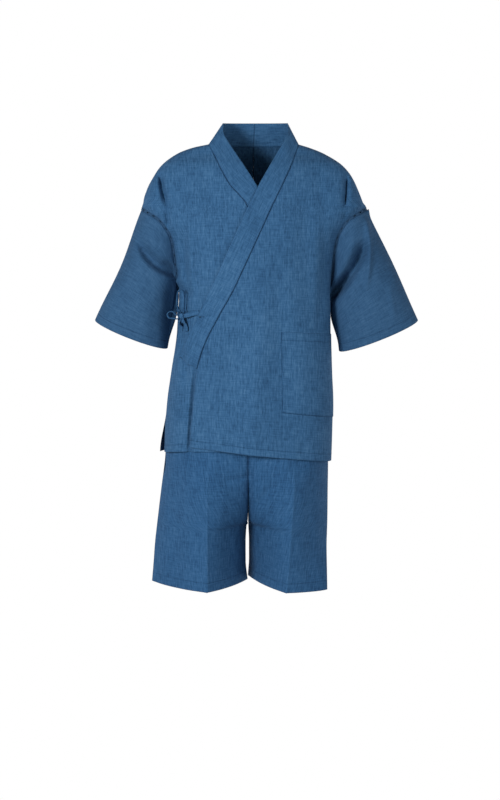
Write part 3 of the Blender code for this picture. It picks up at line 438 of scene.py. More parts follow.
# Colours of the cloth: the bottom of its weave, the cloth at large and its thick yarns
BODY_BLUES = ((0.011, 0.044, 0.108), (0.033, 0.108, 0.231), (0.070, 0.175, 0.322))
# The sleeves' blues are darker and greyer than the body's, though the cloth is the same: painted
# shade on the sleeves
SLEEVE_SHADED_BLUES = ((0.010, 0.037, 0.090), (0.030, 0.091, 0.191), (0.063, 0.148, 0.270))
SHORTS_BLUES = ((0.009, 0.037, 0.100), (0.026, 0.096, 0.219), (0.056, 0.150, 0.298))
# The lace yarn is darker than the cloth: painted shade for the groove of the armhole seam that it
# lies in
LACE_SHADED_BLUE = (0.024, 0.074, 0.158)
THREAD_BLUE = (0.022, 0.068, 0.150)

# Bow at the right hip
TIE_THICK = 0.0016
TIE_CLEAR = 0.0016       # between the cloth and the middle of a band that lies on it
KNOT_X = -0.1490
KNOT_Z = -0.3810
KNOT_OUT = 0.0105        # how far the middle of the knot stands off the cloth
KNOT_RADIUS = 0.0080
KNOT_RUN = 0.007         # a band leaves the knot straight for this length
TIE_CELLS = 8            # cells across a band
TIE_STEPS = 9            # cells between two points of its middle line

# Middle lines of the two loops, from the middle of the knot
LOW_LOOP = (
    (-0.0200, -0.0060, 0.0095), (-0.0285, -0.0055, 0.0090), (-0.0320, -0.0050, 0.0030),
    (-0.0275, -0.0055, -0.0040), (-0.0190, -0.0060, -0.0045),
)
TALL_LOOP = (
    (-0.0095, -0.0010, 0.0180), (-0.0110, 0.0010, 0.0360), (-0.0090, 0.0040, 0.0520),
    (-0.0040, 0.0050, 0.0580), (0.0030, 0.0040, 0.0530), (0.0050, 0.0010, 0.0370),
    (0.0045, -0.0010, 0.0180),
)

HANDS = ((-1, "right"), (1, "left"))


def ramp(value, start, end):
    """0 at start, 1 at end, with a soft beginning and finish."""
    t = min(max((value - start) / (end - start), 0.0), 1.0)
    return t * t * (3 - 2 * t)


def bell(value):
    """1 at zero, and nearly nothing from 2 on."""
    return exp(-value ** 2)


def pressed(u, v, folds):
    """How far a set of folds presses the cloth in at one place."""
    total = 0.0
    for u0, v0, u1, v1, bow, width, lean, depth in folds:
        du = u1 - u0
        dv = v1 - v0
        length = hypot(du, dv)
        along = ((u - u0) * du + (v - v0) * dv) / length ** 2
        if not -FOLD_PAST < along < 1 + FOLD_PAST:
            continue
        across = ((u - u0) * dv - (v - v0) * du) / length - 4 * bow * along * (1 - along)
        flank = width * lean if across > 0 else width
        if abs(across) < FOLD_REACH * flank:
            ends = ramp(along, -FOLD_PAST, 0.25) * ramp(along, 1 + FOLD_PAST, 0.75)
            total += depth * ends * bell(2 * across / flank)
    return total


def ripple(u, v, seed, size):
    """Small uneven rise and fall of worn cloth, longer along v than across it."""
    return size * noise.noise(Vector((u / 0.045, v / 0.110, seed)))


def half_width(z, angle):
    """Half width of the section at a height, as it stands at this angle."""
    hand = "left" if angle >= 0 else "right"
    full = BODY[hand](z)
    if z < UNDERARM:
        return full
    chest = CHEST[hand](z)
    turn = min(abs(angle), 180.0 - abs(angle))
    tip = CAP_TIP[hand] * bell((z - ARM_TOP) / TIP_REACH) * ramp(turn, 80.0, 90.0)
    return chest + (full - chest) * ramp(turn, CHEST_TURN, CAP_TURN) + tip


def body_point(z, angle):
    """Point of the jacket's form: angle 0 is the centre front and 90 the wearer's left side."""
    sine = sin(radians(angle))
    cosine = cos(radians(angle))
    hand = 1 if angle >= 0 else -1
    side = "front" if cosine >= 0 else "back"
    x = half_width(z, angle) * abs(sine) * hand
    y = -BODY[side](z) * cosine * (1 + SQUARE * sine * sine)
    press = pressed(x, z, FRONT_FOLDS if side == "front" else BACK_FOLDS)
    press += ripple(x, z, 3.0 if side == "front" else 9.0, RIPPLE) * ramp(z, -0.02, -0.08)
    y += press * max(-1.0, min(1.0, cosine / 0.35))
    if abs(sine) > SIDE_FROM:
        arc = (abs(angle) - 90.0) * SIDE_ARC
        tuck = pressed(arc, z, SIDE_FOLDS[hand]) * ramp(abs(sine), SIDE_FROM, 0.93)
        x -= hand * tuck * abs(sine)
        y += tuck * cosine
    if side == "back" and hand < 0:
        x -= SLIT_FLARE * ramp(z, -0.60, -0.69) * sine ** 4
    return Vector((x, y, z))


def body_normal(z, angle):
    """Outward direction of the jacket's form."""
    low = min(z, -0.001)
    step = 0.0012
    turn = 0.4 if angle >= 0 else -0.4
    around = body_point(low, angle + turn) - body_point(low, angle - turn)
    upwards = body_point(low + step, angle) - body_point(low - step, angle)
    return around.cross(upwards).normalized() * (1 if angle >= 0 else -1)


def angle_at(x, z):
    """Angle round the front of the section where it passes x."""
    angle = 1.0 if x >= 0 else -1.0
    for _ in range(12):
        share = max(-1.0, min(1.0, x / half_width(z, angle)))
        angle = 0.5 * (angle + degrees(asin(share)))
    return angle


def height(row, angle, layer):
    """Height of a panel's row: a height above the underarm, or a share of the way to the hem."""
    if UNDERARM - 1e-6 < row <= 0:
        return row
    sag = SIDE_SAG * sin(radians(angle)) ** 2 * 4 * row * (1 - row)
    return UNDERARM + row * (HEM[layer](angle) - UNDERARM) - sag


def side_angle(row, z):
    """Angle at which a panel ends: shoulder, armhole or side seam."""
    if z > ARM_TOP or z < UNDERARM or row > 0:
        return 90.0
    return ARMHOLE_ANGLE(z)


def finer(values, distance):
    """The same rows with more between them, so that none is over a cell from the next."""
    out = []
    for a, b in zip(values, values[1:]):
        steps = max(1, ceil(distance(a, b) / CELL))
        out += [a + (b - a) * i / steps for i in range(steps)]
    return out + [values[-1]]


def jacket_rows():
    """Row values of the jacket's panels, with close ones on each side of the hem stitches."""
    upper = list(SHOULDER_ROWS) + [row[1] for row in ARMHOLE_ROWS]

    def apart(a, b):
        return max((body_point(a, angle) - body_point(b, angle)).length
                   for angle in (0, 30, 60, 85))

    lower = finer((0.0,) + LOWER_SHARES, lambda a, b: (b - a) * DROP)[1:]
    stitches = 1 - HEM_DEEP / DROP
    near = [stitches + offset / DROP for offset in (-BESIDE, 0.0, BESIDE)]
    lower = sorted([share for share in lower if abs(share - stitches) > 1.5 * BESIDE / DROP] + near)
    return finer(upper, apart) + lower


ROWS = jacket_rows()


def nearest_row(share):
    """Number of the row nearest to this share of the way from the underarm to the hem."""
    return min(range(len(ROWS)), key=lambda n: abs(ROWS[n] - share))


def over_lift(z, angle):
    """How far the over front stands outside the form: nothing at the shoulder and the side."""
    end = side_angle(0.0, z)
    return LIFT * ramp(z, -0.008, -0.070) * ramp(angle, end - 1.0, end - 23.0)


def front_edge(row, layer):
    """Angle and height of the front edge on one row."""
    angle = 0.0
    for _ in range(8):
        z = height(row, angle, layer)
        angle = angle_at(FRONT_EDGE[layer](z), z)
    return angle, z


def seam_turn(z, angle, gap=SEAM):
    """Half a seam gap, as an angle round the section."""
    step = 0.5
    span = (body_point(z, angle) - body_point(z, angle - copysign(step, angle))).length
    return 0.5 * gap * step / max(span, 1e-6)


def front_angles(row, layer):
    """Angles of the columns of one row of a front, from its edge to its side."""
    facing = 1 if layer == "over" else -1
    edge, z = front_edge(row, layer)
    limit = side_angle(row, z) * facing
    limit -= facing * seam_turn(z, limit, SLIT if row >= SLIT_SHARE else SEAM)
    edge *= facing
    limit *= facing
    anchor = max(POCKET_ANGLE, edge + 0.3 * (limit - edge))
    first = [edge + (anchor - edge) * i / TO_ANCHOR for i in range(TO_ANCHOR)]
    rest = [anchor + (limit - anchor) * (1 - (1 - i / TO_SIDE) ** 1.25) for i in range(TO_SIDE + 1)]
    return [facing * angle for angle in first + rest]


def front_grid(layer):
    """Points of a front and the way out of the cloth at each, row by row from the shoulder."""
    rows = []
    for row in [FRONT_START] + ROWS[1:]:
        cells = []
        run = 0.0
        before = None
        for angle in front_angles(row, layer):
            z = height(row, angle, layer)
            normal = body_normal(z, angle)
            lift = 0.0
            if layer == "over":
                flat = body_point(z, angle)
                run += (flat - before).length if before else 0.0
                before = flat
                edge = ramp(z, -0.47, -0.53) * bell(run / EDGE_REACH)
                wave = 0.75 + 0.6 * noise.noise(Vector((z / 0.05, 4.0, 0.0)))
                lift = over_lift(z, angle) + EDGE_LIFT * edge * wave
            cells.append((body_point(z, angle) + normal * lift, normal))
        rows.append(cells)
    return rows


def back_grid(facing):
    """Points of a back, from its side to the centre-back seam."""
    rows = []
    for row in ROWS:
        z = height(row, 90.0 * facing, "over")
        end = side_angle(row, z)
        start = 180.0 - end + seam_turn(z, 180.0 - end, SLIT if row >= SLIT_SHARE else SEAM)
        stop = 180.0 - seam_turn(z, 179.0)
        cells = []
        for i in range(BACK_COLUMNS + 1):
            angle = facing * (start + (stop - start) * i / BACK_COLUMNS)
            z = height(row, angle, "over")
            cells.append((body_point(z, angle), body_normal(z, angle)))
        rows.append(cells)
    return rows


def collar_point(layer, seam_z, share):
    """Point of a collar half beside the front: share 0 is its seam, 1 its free edge."""
    seam_angle = angle_at(FRONT_EDGE[layer](seam_z), seam_z)
    seam = body_point(seam_z, seam_angle)
    free = Vector([COLLAR[layer][name](seam_z) for name in "xyz"])
    straight = seam.lerp(free, share)
    z = min(straight.z, 0.0)
    angle = angle_at(straight.x, z)
    lift = 0.0
    if layer == "over":
        gape = ramp(seam_z, -0.12, -0.22) * (0.8 + 0.6 * ramp(seam_z, -0.26, -0.36))
        wave = 0.9 + 0.5 * noise.noise(Vector((seam_z / 0.06, 1.0, 0.0)))
        lift = over_lift(z, angle) + EDGE_LIFT * gape * wave * max(share, 0.0) ** 1.5
    on_chest = body_point(z, angle) + body_normal(z, angle) * lift
    on_chest.z += straight.z - z
    return straight.lerp(on_chest, ramp(seam_z, -0.030, -0.100))


def nape_point(facing, angle, share):
    """Point of a collar half round the back of the neck."""
    seam = body_point(0.0, facing * angle)
    sine = sin(radians(angle))
    cosine = -cos(radians(angle))
    free = Vector((facing * RIM_X[facing] * sine + RIM_MIDDLE * (1 - sine), NAPE_Y * cosine,
                   RIM_SIDE_Z + (NAPE_Z - RIM_SIDE_Z) * cosine))
    return seam.lerp(free, share)


def collar_grid(layer):
    """Middle surface of a collar half, from the nape down to its end."""
    facing = 1 if layer == "over" else -1

    def shares(gap):
        start = gap / COLLAR_WIDTH
        return [start + (1 - start) * i / COLLAR_COLUMNS for i in range(COLLAR_COLUMNS + 1)]

    rows = []
    stop = 180.0 - seam_turn(0.0, 179.0)
    count = BACK_COLUMNS // 2
    for i in range(count):
        angle = stop + (90.0 - stop) * i / count
        rows.append([nape_point(facing, angle, share) for share in shares(-NAPE_LAP)])
    for row in ROWS[:nearest_row(COLLAR_END_SHARE) + 1]:
        seam_z = front_edge(row, layer)[1] if row else 0.0
        gap = -NAPE_LAP + (CHEST_GAP + NAPE_LAP) * ramp(seam_z, -0.004, -0.030)
        rows.append([collar_point(layer, seam_z, share) for share in shares(gap)])
    return with_normals(rows, -facing)


def with_normals(points, sign):
    """Add to each point of a grid the direction square to the grid there."""
    grid = []
    for i, row in enumerate(points):
        cells = []
        for j, point in enumerate(row):
            down = points[min(i + 1, len(points) - 1)][j] - points[max(i - 1, 0)][j]
            across = row[min(j + 1, len(row) - 1)] - row[max(j - 1, 0)]
            cells.append((point, down.cross(across).normalized() * sign))
        grid.append(cells)
    return grid


def armhole_point(facing, step, side):
    """Point of the armhole edge, and the way the lace leaves it."""
    z = ARMHOLE["z"](step)
    angle = ARMHOLE_ANGLE(z)
    if side == "back":
        angle = 180.0 - angle
    droop = radians(ARMHOLE["droop"](step))
    return body_point(z, facing * angle), Vector((facing * cos(droop), 0.0, -sin(droop)))


def arm_shares(facing):
    """Share of the way round for each step of the armhole, and the step for each share."""
    points = [armhole_point(facing, step, "front")[0] for step in range(ARM_STEPS + 1)]
    lengths = [0.0]
    for a, b in zip(points, points[1:]):
        lengths.append(lengths[-1] + (b - a).length)
    shares = [length / lengths[-1] for length in lengths]
    steps = list(range(ARM_STEPS + 1))
    return Curve(steps, shares), Curve(shares, steps)


ARM_SHARES = {facing: arm_shares(facing) for facing in (1, -1)}


def sleeve_point(facing, along, step):
    """Point of a sleeve: step is 0 on the top fold, negative in front, positive behind."""
    side = "front" if step <= 0 else "back"
    around = -1 if side == "front" else 1
    start, way = armhole_point(facing, abs(step), side)
    start = start + way * (LACE_DRAWN * ARMHOLE["lace"](abs(step)) + 2 * LACE_GAP)
    cuff = CUFFS[facing]
    share = ARM_SHARES[facing][0](abs(step))
    sine = sin(pi * share)
    mix = 0.5 * (1 - cos(pi * share))
    x = cuff["outer"][0] + (cuff["inner"][0] - cuff["outer"][0]) * mix
    z = cuff["outer"][1] + (cuff["inner"][1] - cuff["outer"][1]) * mix - CUFF_SAG * sine
    point = start.lerp(Vector((x, around * cuff["depth"] * sine, z)), along)
    swell = sin(pi * along)
    point.y += around * SLEEVE_BELLY * swell * sine
    leaning = ramp(along, 0.0, 0.12) * ramp(along, 0.90, 0.40) * share ** 4
    point.x -= facing * (cuff["hollow"] * (swell * (1 - share)) ** 2 + cuff["lean"] * leaning)
    if point.z < UNDERARM:
        point.x = facing * max(facing * point.x, half_width(point.z, facing * 90.0) + SLEEVE_CLEAR)
    proud = PROUD * exp(-(along / 0.05) ** 2 - (share / 0.06) ** 2)
    point += Vector((facing * proud, 0.0, 0.4 * proud)) if facing > 0 else Vector()
    press = pressed(point.x, point.z, SLEEVE_FOLDS[side, facing])
    press += ripple(point.x, point.z, 5.0 + facing + 3 * around, SLEEVE_RIPPLE)
    point.y -= around * press * ramp(along, 0.0, 0.12) * min(1.0, 2.5 * sine)
    return point


def sleeve_grid(facing):
    """Points of a sleeve, from its head to the cuff."""
    rows = []
    for n in range(SLEEVE_ROWS + 1):
        row = []
        for i in range(-ARM_STEPS * ARM_CELLS, ARM_STEPS * ARM_CELLS + 1):
            point = sleeve_point(facing, n / SLEEVE_ROWS, i / ARM_CELLS)
            if abs(i) == ARM_STEPS * ARM_CELLS:
                point.y = copysign(0.5 * SEAM, i)
            row.append(point)
        rows.append(row)
    grid = with_normals(rows, facing)
    for cells in grid:
        for end in (0, -1):
            point, normal = cells[end]
            normal.y = 0.0
            cells[end] = (point, normal.normalized())
    return grid


def tucked(point):
    """Keep a point of the shorts inside the jacket wherever the jacket covers it."""
    if point.z < TUCK_BELOW - TUCK_EASE:
        return point
    half = half_width(point.z, point.x)     # so far down only the sign of the angle counts
    depth = BODY["front" if point.y < 0 else "back"](point.z)
    angle = degrees(atan2(abs(point.x) / half, abs(point.y) / depth))
    if point.y > 0:
        angle = 180.0 - angle
    form = body_point(point.z, copysign(angle, point.x))
    share = (hypot(form.x, form.y) - WALL - TUCK) / hypot(point.x, point.y)
    if share > 1:
        return point
    share = 1 + (share - 1) * ramp(point.z, TUCK_BELOW - TUCK_EASE, TUCK_BELOW)
    return Vector((point.x * share, point.y * share, point.z))


def leg_point(facing, z, side, t):
    """Point of a leg panel: t is 0 on the inner seam, 1 on the crease, 2 on the side seam."""
    leg = LEGS[facing]
    inner_y = "back_y" if side == "back" and z > CROTCH else "front_y"
    crease_names = ("crease_x", "crease_y") if side == "front" else ("rear_x", "rear_y")
    crease = Vector((leg[crease_names[0]](z), leg[crease_names[1]](z), z))
    if t <= 1:
        seam = Vector((leg["inner_x"](z), leg[inner_y](z), z))
    else:
        seam = Vector((leg["side_x"](z), leg["side_y"](z), z))
        t = 2 - t
    turn = 0.5 * pi * t
    x = crease.x + (seam.x - crease.x) * cos(turn)
    y = seam.y + (crease.y - seam.y) * sin(turn)
    point = seam.lerp(crease, t).lerp(Vector((x, y, z)), leg["full"](z))
    around = -1 if side == "front" else 1
    press = pressed(point.x, point.z, LEG_FOLDS[side]) + ripple(point.x, z, 12.0 + around, RIPPLE)
    press -= CREASE * bell((1 - t) / 0.035)
    held = max(ramp(t, 0.0, 0.12), ramp(z, CROTCH + 0.008, CROTCH + 0.040))
    point.y -= around * press * held
    point = tucked(point)
    if facing > 0:
        point.z -= LEFT_HEM_TILT * ramp(point.z, -0.80, -0.99) * (point.x - 0.04) / 0.13
    return point


def leg_grid(facing, side):
    """Wall grid of a leg panel, with shared directions along every seam."""
    around = -1 if side == "front" else 1
    heights = finer((LEG_TOP, CROTCH, LEG_HEM), lambda a, b: abs(b - a))
    columns = [i / LEG_COLUMNS for i in range(2 * LEG_COLUMNS + 1)]
    points = []
    for z in heights:
        row = [leg_point(facing, z, side, t) for t in columns]
        if z > CROTCH + 1e-6:
            row[0].x += facing * 0.5 * SEAM
        else:
            row[0].y += around * 0.5 * SEAM
            if z > CROTCH - 1e-6:
                row[0].x = CROTCH_X + facing * 0.5 * SEAM
        row[-1].y += around * 0.5 * SEAM
        points.append(row)
    grid = with_normals(points, -facing * around)
    for i, cells in enumerate(grid):
        cells[-1] = (points[i][-1], Vector((facing, 0.0, 0.0)))
        if heights[i] > CROTCH + 1e-6:
            way = points[i + 1][0] - points[max(i - 1, 0)][0]
            normal = Vector((0.0, way.z, -way.y)).normalized()
            if normal.y * around < 0:
                normal.negate()
        elif heights[i] > CROTCH - 1e-6:
            normal = Vector((-0.7 * facing, 0.0, -0.7))
        else:
            normal = Vector((-facing, 0.0, 0.0))
        cells[0] = (points[i][0], normal)
    return grid


def waistband_grid():
    """Ring above the legs, gathered by the elastic inside it."""
    columns = [i / LEG_COLUMNS for i in range(2 * LEG_COLUMNS + 1)]
    ring = []
    for facing, side in ((1, "front"), (1, "back"), (-1, "back"), (-1, "front")):
        outwards = (facing > 0) == (side == "front")
        ring += [leg_point(facing, LEG_TOP, side, t)
                 for t in (columns if outwards else columns[::-1])][1:]
    middle = sum(ring, Vector()) / len(ring)
    rows = []
    for i in range(WAIST_ROWS + 1):
        share = i / WAIST_ROWS
        z = LEG_TOP + SEAM + (WAIST_TOP - LEG_TOP - SEAM) * share
        scale = 1.0 - WAIST_IN * sin(0.5 * pi * share)
        cells = []
        for n, point in enumerate(ring):
            out = Vector((point.x - middle.x, point.y - middle.y, 0.0))
            wave = sin(2.1 * n + 2 * noise.noise(Vector((n / 3, 0, 0))))
            gather = GATHER * (0.5 + 0.5 * wave)
            shrink = 1 - gather * sin(pi * share) / out.length
            place = Vector((middle.x, middle.y, z)) + out * scale * shrink
            cells.append((place, out.normalized()))
        rows.append(cells)
    return rows


def distances(grid):
    """How far each point of a grid is, along the cloth, from its first column and its first row."""
    rows = len(grid)
    columns = len(grid[0])
    across = [[0.0] * columns for _ in range(rows)]
    down = [[0.0] * columns for _ in range(rows)]
    for i in range(rows):
        for j in range(columns):
            if j:
                across[i][j] = across[i][j - 1] + (grid[i][j][0] - grid[i][j - 1][0]).length
            if i:
                down[i][j] = down[i - 1][j] + (grid[i][j][0] - grid[i - 1][j][0]).length
    return across, down


def closed_mesh(name, verts, faces):
    """A smooth mesh with all its faces turned outwards."""
    mesh = bpy.data.meshes.new(name)
    mesh.from_pydata(verts, [], faces)
    bm = bmesh.new()
    bm.from_mesh(mesh)
    bmesh.ops.recalc_face_normals(bm, faces=bm.faces)
    bm.to_mesh(mesh)
    bm.free()
    mesh.shade_smooth()
    return mesh


def write_cloth(mesh, layout, lines):
    """Give each point its place on the cloth and its distances from seam, stitches and crease."""
    uv = mesh.uv_layers.new(name="cloth")
    for loop in mesh.loops:
        uv.data[loop.index].uv = layout[loop.vertex_index]
    # The cloth's material paints shade along seams and stitches, and a highlight along the crease,
    # from these distances
    attribute = mesh.attributes.new("lines", "FLOAT_VECTOR", "POINT")
    attribute.data.foreach_set("vector", [value for line in lines for value in line])


def add_piece(name, mesh):
    """Put a mesh in the scene as a piece at the origin."""
    made = bpy.data.objects.new(name, mesh)
    bpy.context.scene.collection.objects.link(made)
    return made


def shell(name, grid, outside, inside, ring=False, u_start=None, turn_grain=False,
          seams="", hem=None, hem_at_top=False, crease=None):
    """Closed wall of cloth with rounded edges, laid out in metres on its UV map.

    seams names the borders sewn to another piece: first or last column (l, r), first or last row
    (t, b). hem is the distance of the hem's stitches from the last row, or from the first where
    hem_at_top, and crease a column's share. u_start gives the place across the cloth at which a
    row starts, and turn_grain lays the warp along the rows.
    """
    rows = len(grid)
    columns = len(grid[0])
    strips = columns if ring else columns - 1
    across, down = distances(grid)
    mean_down = [sum(row) / columns for row in down]
    thick = outside - inside
    verts = []
    faces = []
    layout = []
    lines = []

    def place(point, i, j):
        u = across[i][j] + (u_start(grid[i][0][0]) if u_start else 0.0)
        layout.append((mean_down[i], u) if turn_grain else (u, mean_down[i]))
        reach = {"l": across[i][j], "r": across[i][-1] - across[i][j],
                 "t": down[i][j], "b": down[-1][j] - down[i][j]}
        seam = min([reach[border] for border in seams] + [FAR])
        stitch = reach["t" if hem_at_top else "b"] - hem if hem else FAR
        middle = across[i][j] - across[i][int(crease * (columns - 1))] if crease else FAR
        lines.append((seam, stitch, middle))
        verts.append(point)
        return len(verts) - 1

    def drawn_in(i, j):
        """A border point moved back from the edge, to leave room for its rounding."""
        point = grid[i][j][0].copy()
        inner_row = 1 if i == 0 else rows - 2
        inner_column = 1 if j == 0 else columns - 2
        for k, m, at_edge in ((inner_row, j, i in (0, rows - 1)),
                              (i, inner_column, j in (0, columns - 1) and not ring)):
            if at_edge:
                way = grid[k][m][0] - grid[i][j][0]
                point += way.normalized() * min(ROUND * thick, 0.4 * way.length)
        return point

    skins = ([], [])
    for i in range(rows):
        for skin, offset in zip(skins, (outside, inside)):
            skin.append([place(drawn_in(i, j) + grid[i][j][1] * offset, i, j)
                         for j in range(columns)])
    middle_rim = {}

    def rim(i, j):
        if (i, j) not in middle_rim:
            point, normal = grid[i][j]
            middle_rim[i, j] = place(point + normal * 0.5 * (outside + inside), i, j)
        return middle_rim[i, j]

    for i in range(rows - 1):
        for j in range(strips):
            k = (j + 1) % columns
            for skin in skins:
                faces.append((skin[i][j], skin[i][k], skin[i + 1][k], skin[i + 1][j]))
    border = []
    for i in (0, rows - 1):
        border += [((i, j), (i, (j + 1) % columns)) for j in range(strips)]
    if not ring:
        for j in (0, columns - 1):
            border += [((i, j), (i + 1, j)) for i in range(rows - 1)]
    for (i, j), (k, m) in border:
        a, b = rim(i, j), rim(k, m)
        faces.append((skins[0][i][j], skins[0][k][m], b, a))
        faces.append((a, b, skins[1][k][m], skins[1][i][j]))
    mesh = closed_mesh(name, verts, faces)
    write_cloth(mesh, layout, lines)
    return add_piece(name, mesh)


def dress(piece, material, slot, *nodes, held=None):
    """Give a piece its material and its place on the body, and hide the parts that it stands for.
    """
    piece.data.materials.append(material)
    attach(piece, "root")
    if nodes:
        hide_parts(*nodes)


def lay_line(grid, from_last):
    """Points and outward directions along a panel, a distance above its last row."""
    down = distances(grid)[1]
    out = []
    for j in range(len(grid[0])):
        goal = down[-1][j] - from_last
        i = max(n for n in range(len(grid) - 1) if down[n][j] <= goal)
        t = (goal - down[i][j]) / (down[i + 1][j] - down[i][j])
        out.append((grid[i][j][0].lerp(grid[i + 1][j][0], t), grid[i][j][1]))
    return out


STITCH_PITCH = 0.0040
STITCH_LONG = 0.0027
STITCH_WIDE = 0.00055
STITCH_HIGH = 0.00030    # how far a stitch stands out of the cloth


def stitches(name, paths, outside=0.0):
    """Rows of short stitches, each a small pointed bead half sunk in the cloth."""
    verts = []
    faces = []
    for path in paths:
        left = 0.5 * STITCH_PITCH
        for (a, normal), (b, _) in zip(path, path[1:]):
            way = b - a
            length = way.length
            if length < 1e-7:
                continue
            way = way / length
            side = normal.cross(way).normalized()
            while left < length:
                middle = a + way * left + normal * outside
                first = len(verts)
                verts += [middle - way * 0.5 * STITCH_LONG, middle + way * 0.5 * STITCH_LONG,
                          middle + side * 0.5 * STITCH_WIDE, middle + normal * STITCH_HIGH,
                          middle - side * 0.5 * STITCH_WIDE, middle - normal * STITCH_HIGH]
                for p, q in ((2, 3), (3, 4), (4, 5), (5, 2)):
                    faces += [(first, first + p, first + q), (first + 1, first + q, first + p)]
                left += STITCH_PITCH
            left -= length
    return add_piece(name, closed_mesh(name, verts, faces))


def sweep(verts, faces, path, sides, size):
    """Add a closed tube along a path; size gives its two half widths and their directions."""
    first = len(verts)
    for i, point in enumerate(path):
        half_a, half_b, way_a, way_b = size(i)
        for n in range(sides):
            turn = 2 * pi * n / sides
            verts.append(point + way_a * half_a * cos(turn) + way_b * half_b * sin(turn))
    for i in range(len(path) - 1):
        for n in range(sides):
            m = (n + 1) % sides
            low = first + i * sides
            faces.append((low + n, low + m, low + sides + m, low + sides + n))
    faces.append(tuple(first + n for n in range(sides)))
    faces.append(tuple(first + (len(path) - 1) * sides + n for n in reversed(range(sides))))


YARN = 0.00060           # half thickness of the lace's yarn
RAIL_WIDE = 0.0011       # half width of a rail of several yarns
RAILS = (0.08, 0.92)     # where the rails run, as shares of the lace's width
RUNG = {"front": 0.80, "back": 0.94}       # share of a cell that its rung takes
LACE_SHIFT = {"front": 0.0, "back": 0.25}  # its cells start this share of a cell further round
LACE_YARNS = 15          # yarns in a rung
LACE_SIDES = 6           # flat sides of a yarn
RUNG_STEPS = 8


def lace(name, facing, side):
    """Ladder lace from the armhole edge to the sleeve head: two corded rails and yarn rungs."""
    step_at = ARM_SHARES[facing][1]
    verts = []
    faces = []
    out = Vector((0.0, -1.0 if side == "front" else 1.0, 0.3)).normalized()

    def at(share, part):
        share = min(max(share, LACE_START), LACE_END)
        step = step_at(share)
        start, way = armhole_point(facing, step, side)
        return start + way * (LACE_GAP + LACE_DRAWN * ARMHOLE["lace"](step) * part)

    def yarn_along(path, wide, plump=0.0):
        """One yarn; plump is how far its thickness comes and goes."""
        def size(i):
            way = (path[min(i + 1, len(path) - 1)] - path[max(i - 1, 0)]).normalized()
            across = way.cross(out).normalized()
            swell = 1.0 + plump * sin(1.9 * i)
            return wide * swell, YARN * swell, across, across.cross(way)

        sweep(verts, faces, path, LACE_SIDES, size)

    count = 10 * LACE_CELLS
    for part in RAILS:
        path = [at(LACE_START + (LACE_END - LACE_START) * i / count, part)
                for i in range(count + 1)]
        yarn_along(path, RAIL_WIDE, 0.18)
    shift = LACE_SHIFT[side]
    rung = RUNG[side]
    for cell in range(LACE_CELLS):
        for yarn in range(LACE_YARNS):
            spread = (yarn + 0.5) / LACE_YARNS
            low = (cell + shift + rung * spread) / LACE_CELLS
            high = (cell + shift + rung * (0.10 + 0.80 * spread)) / LACE_CELLS
            if low > LACE_END:
                continue
            path = []
            for i in range(RUNG_STEPS + 1):
                t = i / RUNG_STEPS
                waist = sin(pi * t)
                point = at(low + (high - low) * waist, RAILS[0] + (RAILS[1] - RAILS[0]) * t)
                path.append(point + out * 0.0003 * (yarn % 2))
            yarn_along(path, YARN)
    return add_piece(name, closed_mesh(name, verts, faces))


def on_front(x, z, out):
    """Point outside the under front at a place given in front view."""
    angle = angle_at(x, z)
    return body_point(z, angle) + body_normal(z, angle) * out


def smooth_path(points, steps):
    """Points along a smooth curve through the given ones."""
    points = [Vector(p) for p in points]
    padded = [2 * points[0] - points[1]] + points + [2 * points[-1] - points[-2]]
    out = []
    for a, b, c, d in zip(padded, padded[1:], padded[2:], padded[3:]):
        for i in range(steps):
            t = i / steps
            out.append(0.5 * (2 * b + (c - a) * t + (2 * a - 5 * b + 4 * c - d) * t * t
                              + (3 * b - a - 3 * c + d) * t ** 3))
    out.append(points[-1])
    return out


KNOT_MIDDLE = on_front(KNOT_X, KNOT_Z, KNOT_OUT)
KNOT_LOOK = body_normal(KNOT_Z, angle_at(KNOT_X, KNOT_Z))


def knot_side(way, more=0.0):
    """Where a band leaves the knot, or a little further along its way."""
    return KNOT_MIDDLE + Vector(way).normalized() * (KNOT_RADIUS - 0.001 + more)


def tie_band(name, points, facing, width, seed, edge_on):
    """A narrow tie, sewn as a flat tube and worn soft: it cups, narrows at the knot and creases.

    It faces along facing, or where edge_on its width runs that way.
    """
    path = smooth_path(points, TIE_STEPS)
    facing = Vector(facing).normalized()
    rows = []
    parts = [i / TIE_CELLS - 0.5 for i in range(TIE_CELLS + 1)]
    for i, point in enumerate(path):
        way = path[min(i + 1, len(path) - 1)] - path[max(i - 1, 0)]
        across = facing if edge_on else way.cross(facing).normalized()
        normal = across.cross(way).normalized()
        if not edge_on and normal.dot(facing) < 0:
            normal.negate()
        pinch = 1 - 0.45 * exp(-((point - KNOT_MIDDLE).length / 0.012) ** 4)
        cells = []
        for part in parts:
            cup = 0.0012 * (4 * part * part - 0.5)
            crumple = 0.0007 * noise.noise(Vector((part * 4, i / 4, seed)))
            cells.append(point + across * width * pinch * part + normal * (cup + crumple))
        rows.append(cells)
    sign = 1 if edge_on or with_normals(rows, 1)[0][0][1].dot(facing) > 0 else -1
    return shell(name, with_normals(rows, sign), 0.5 * TIE_THICK, -0.5 * TIE_THICK)


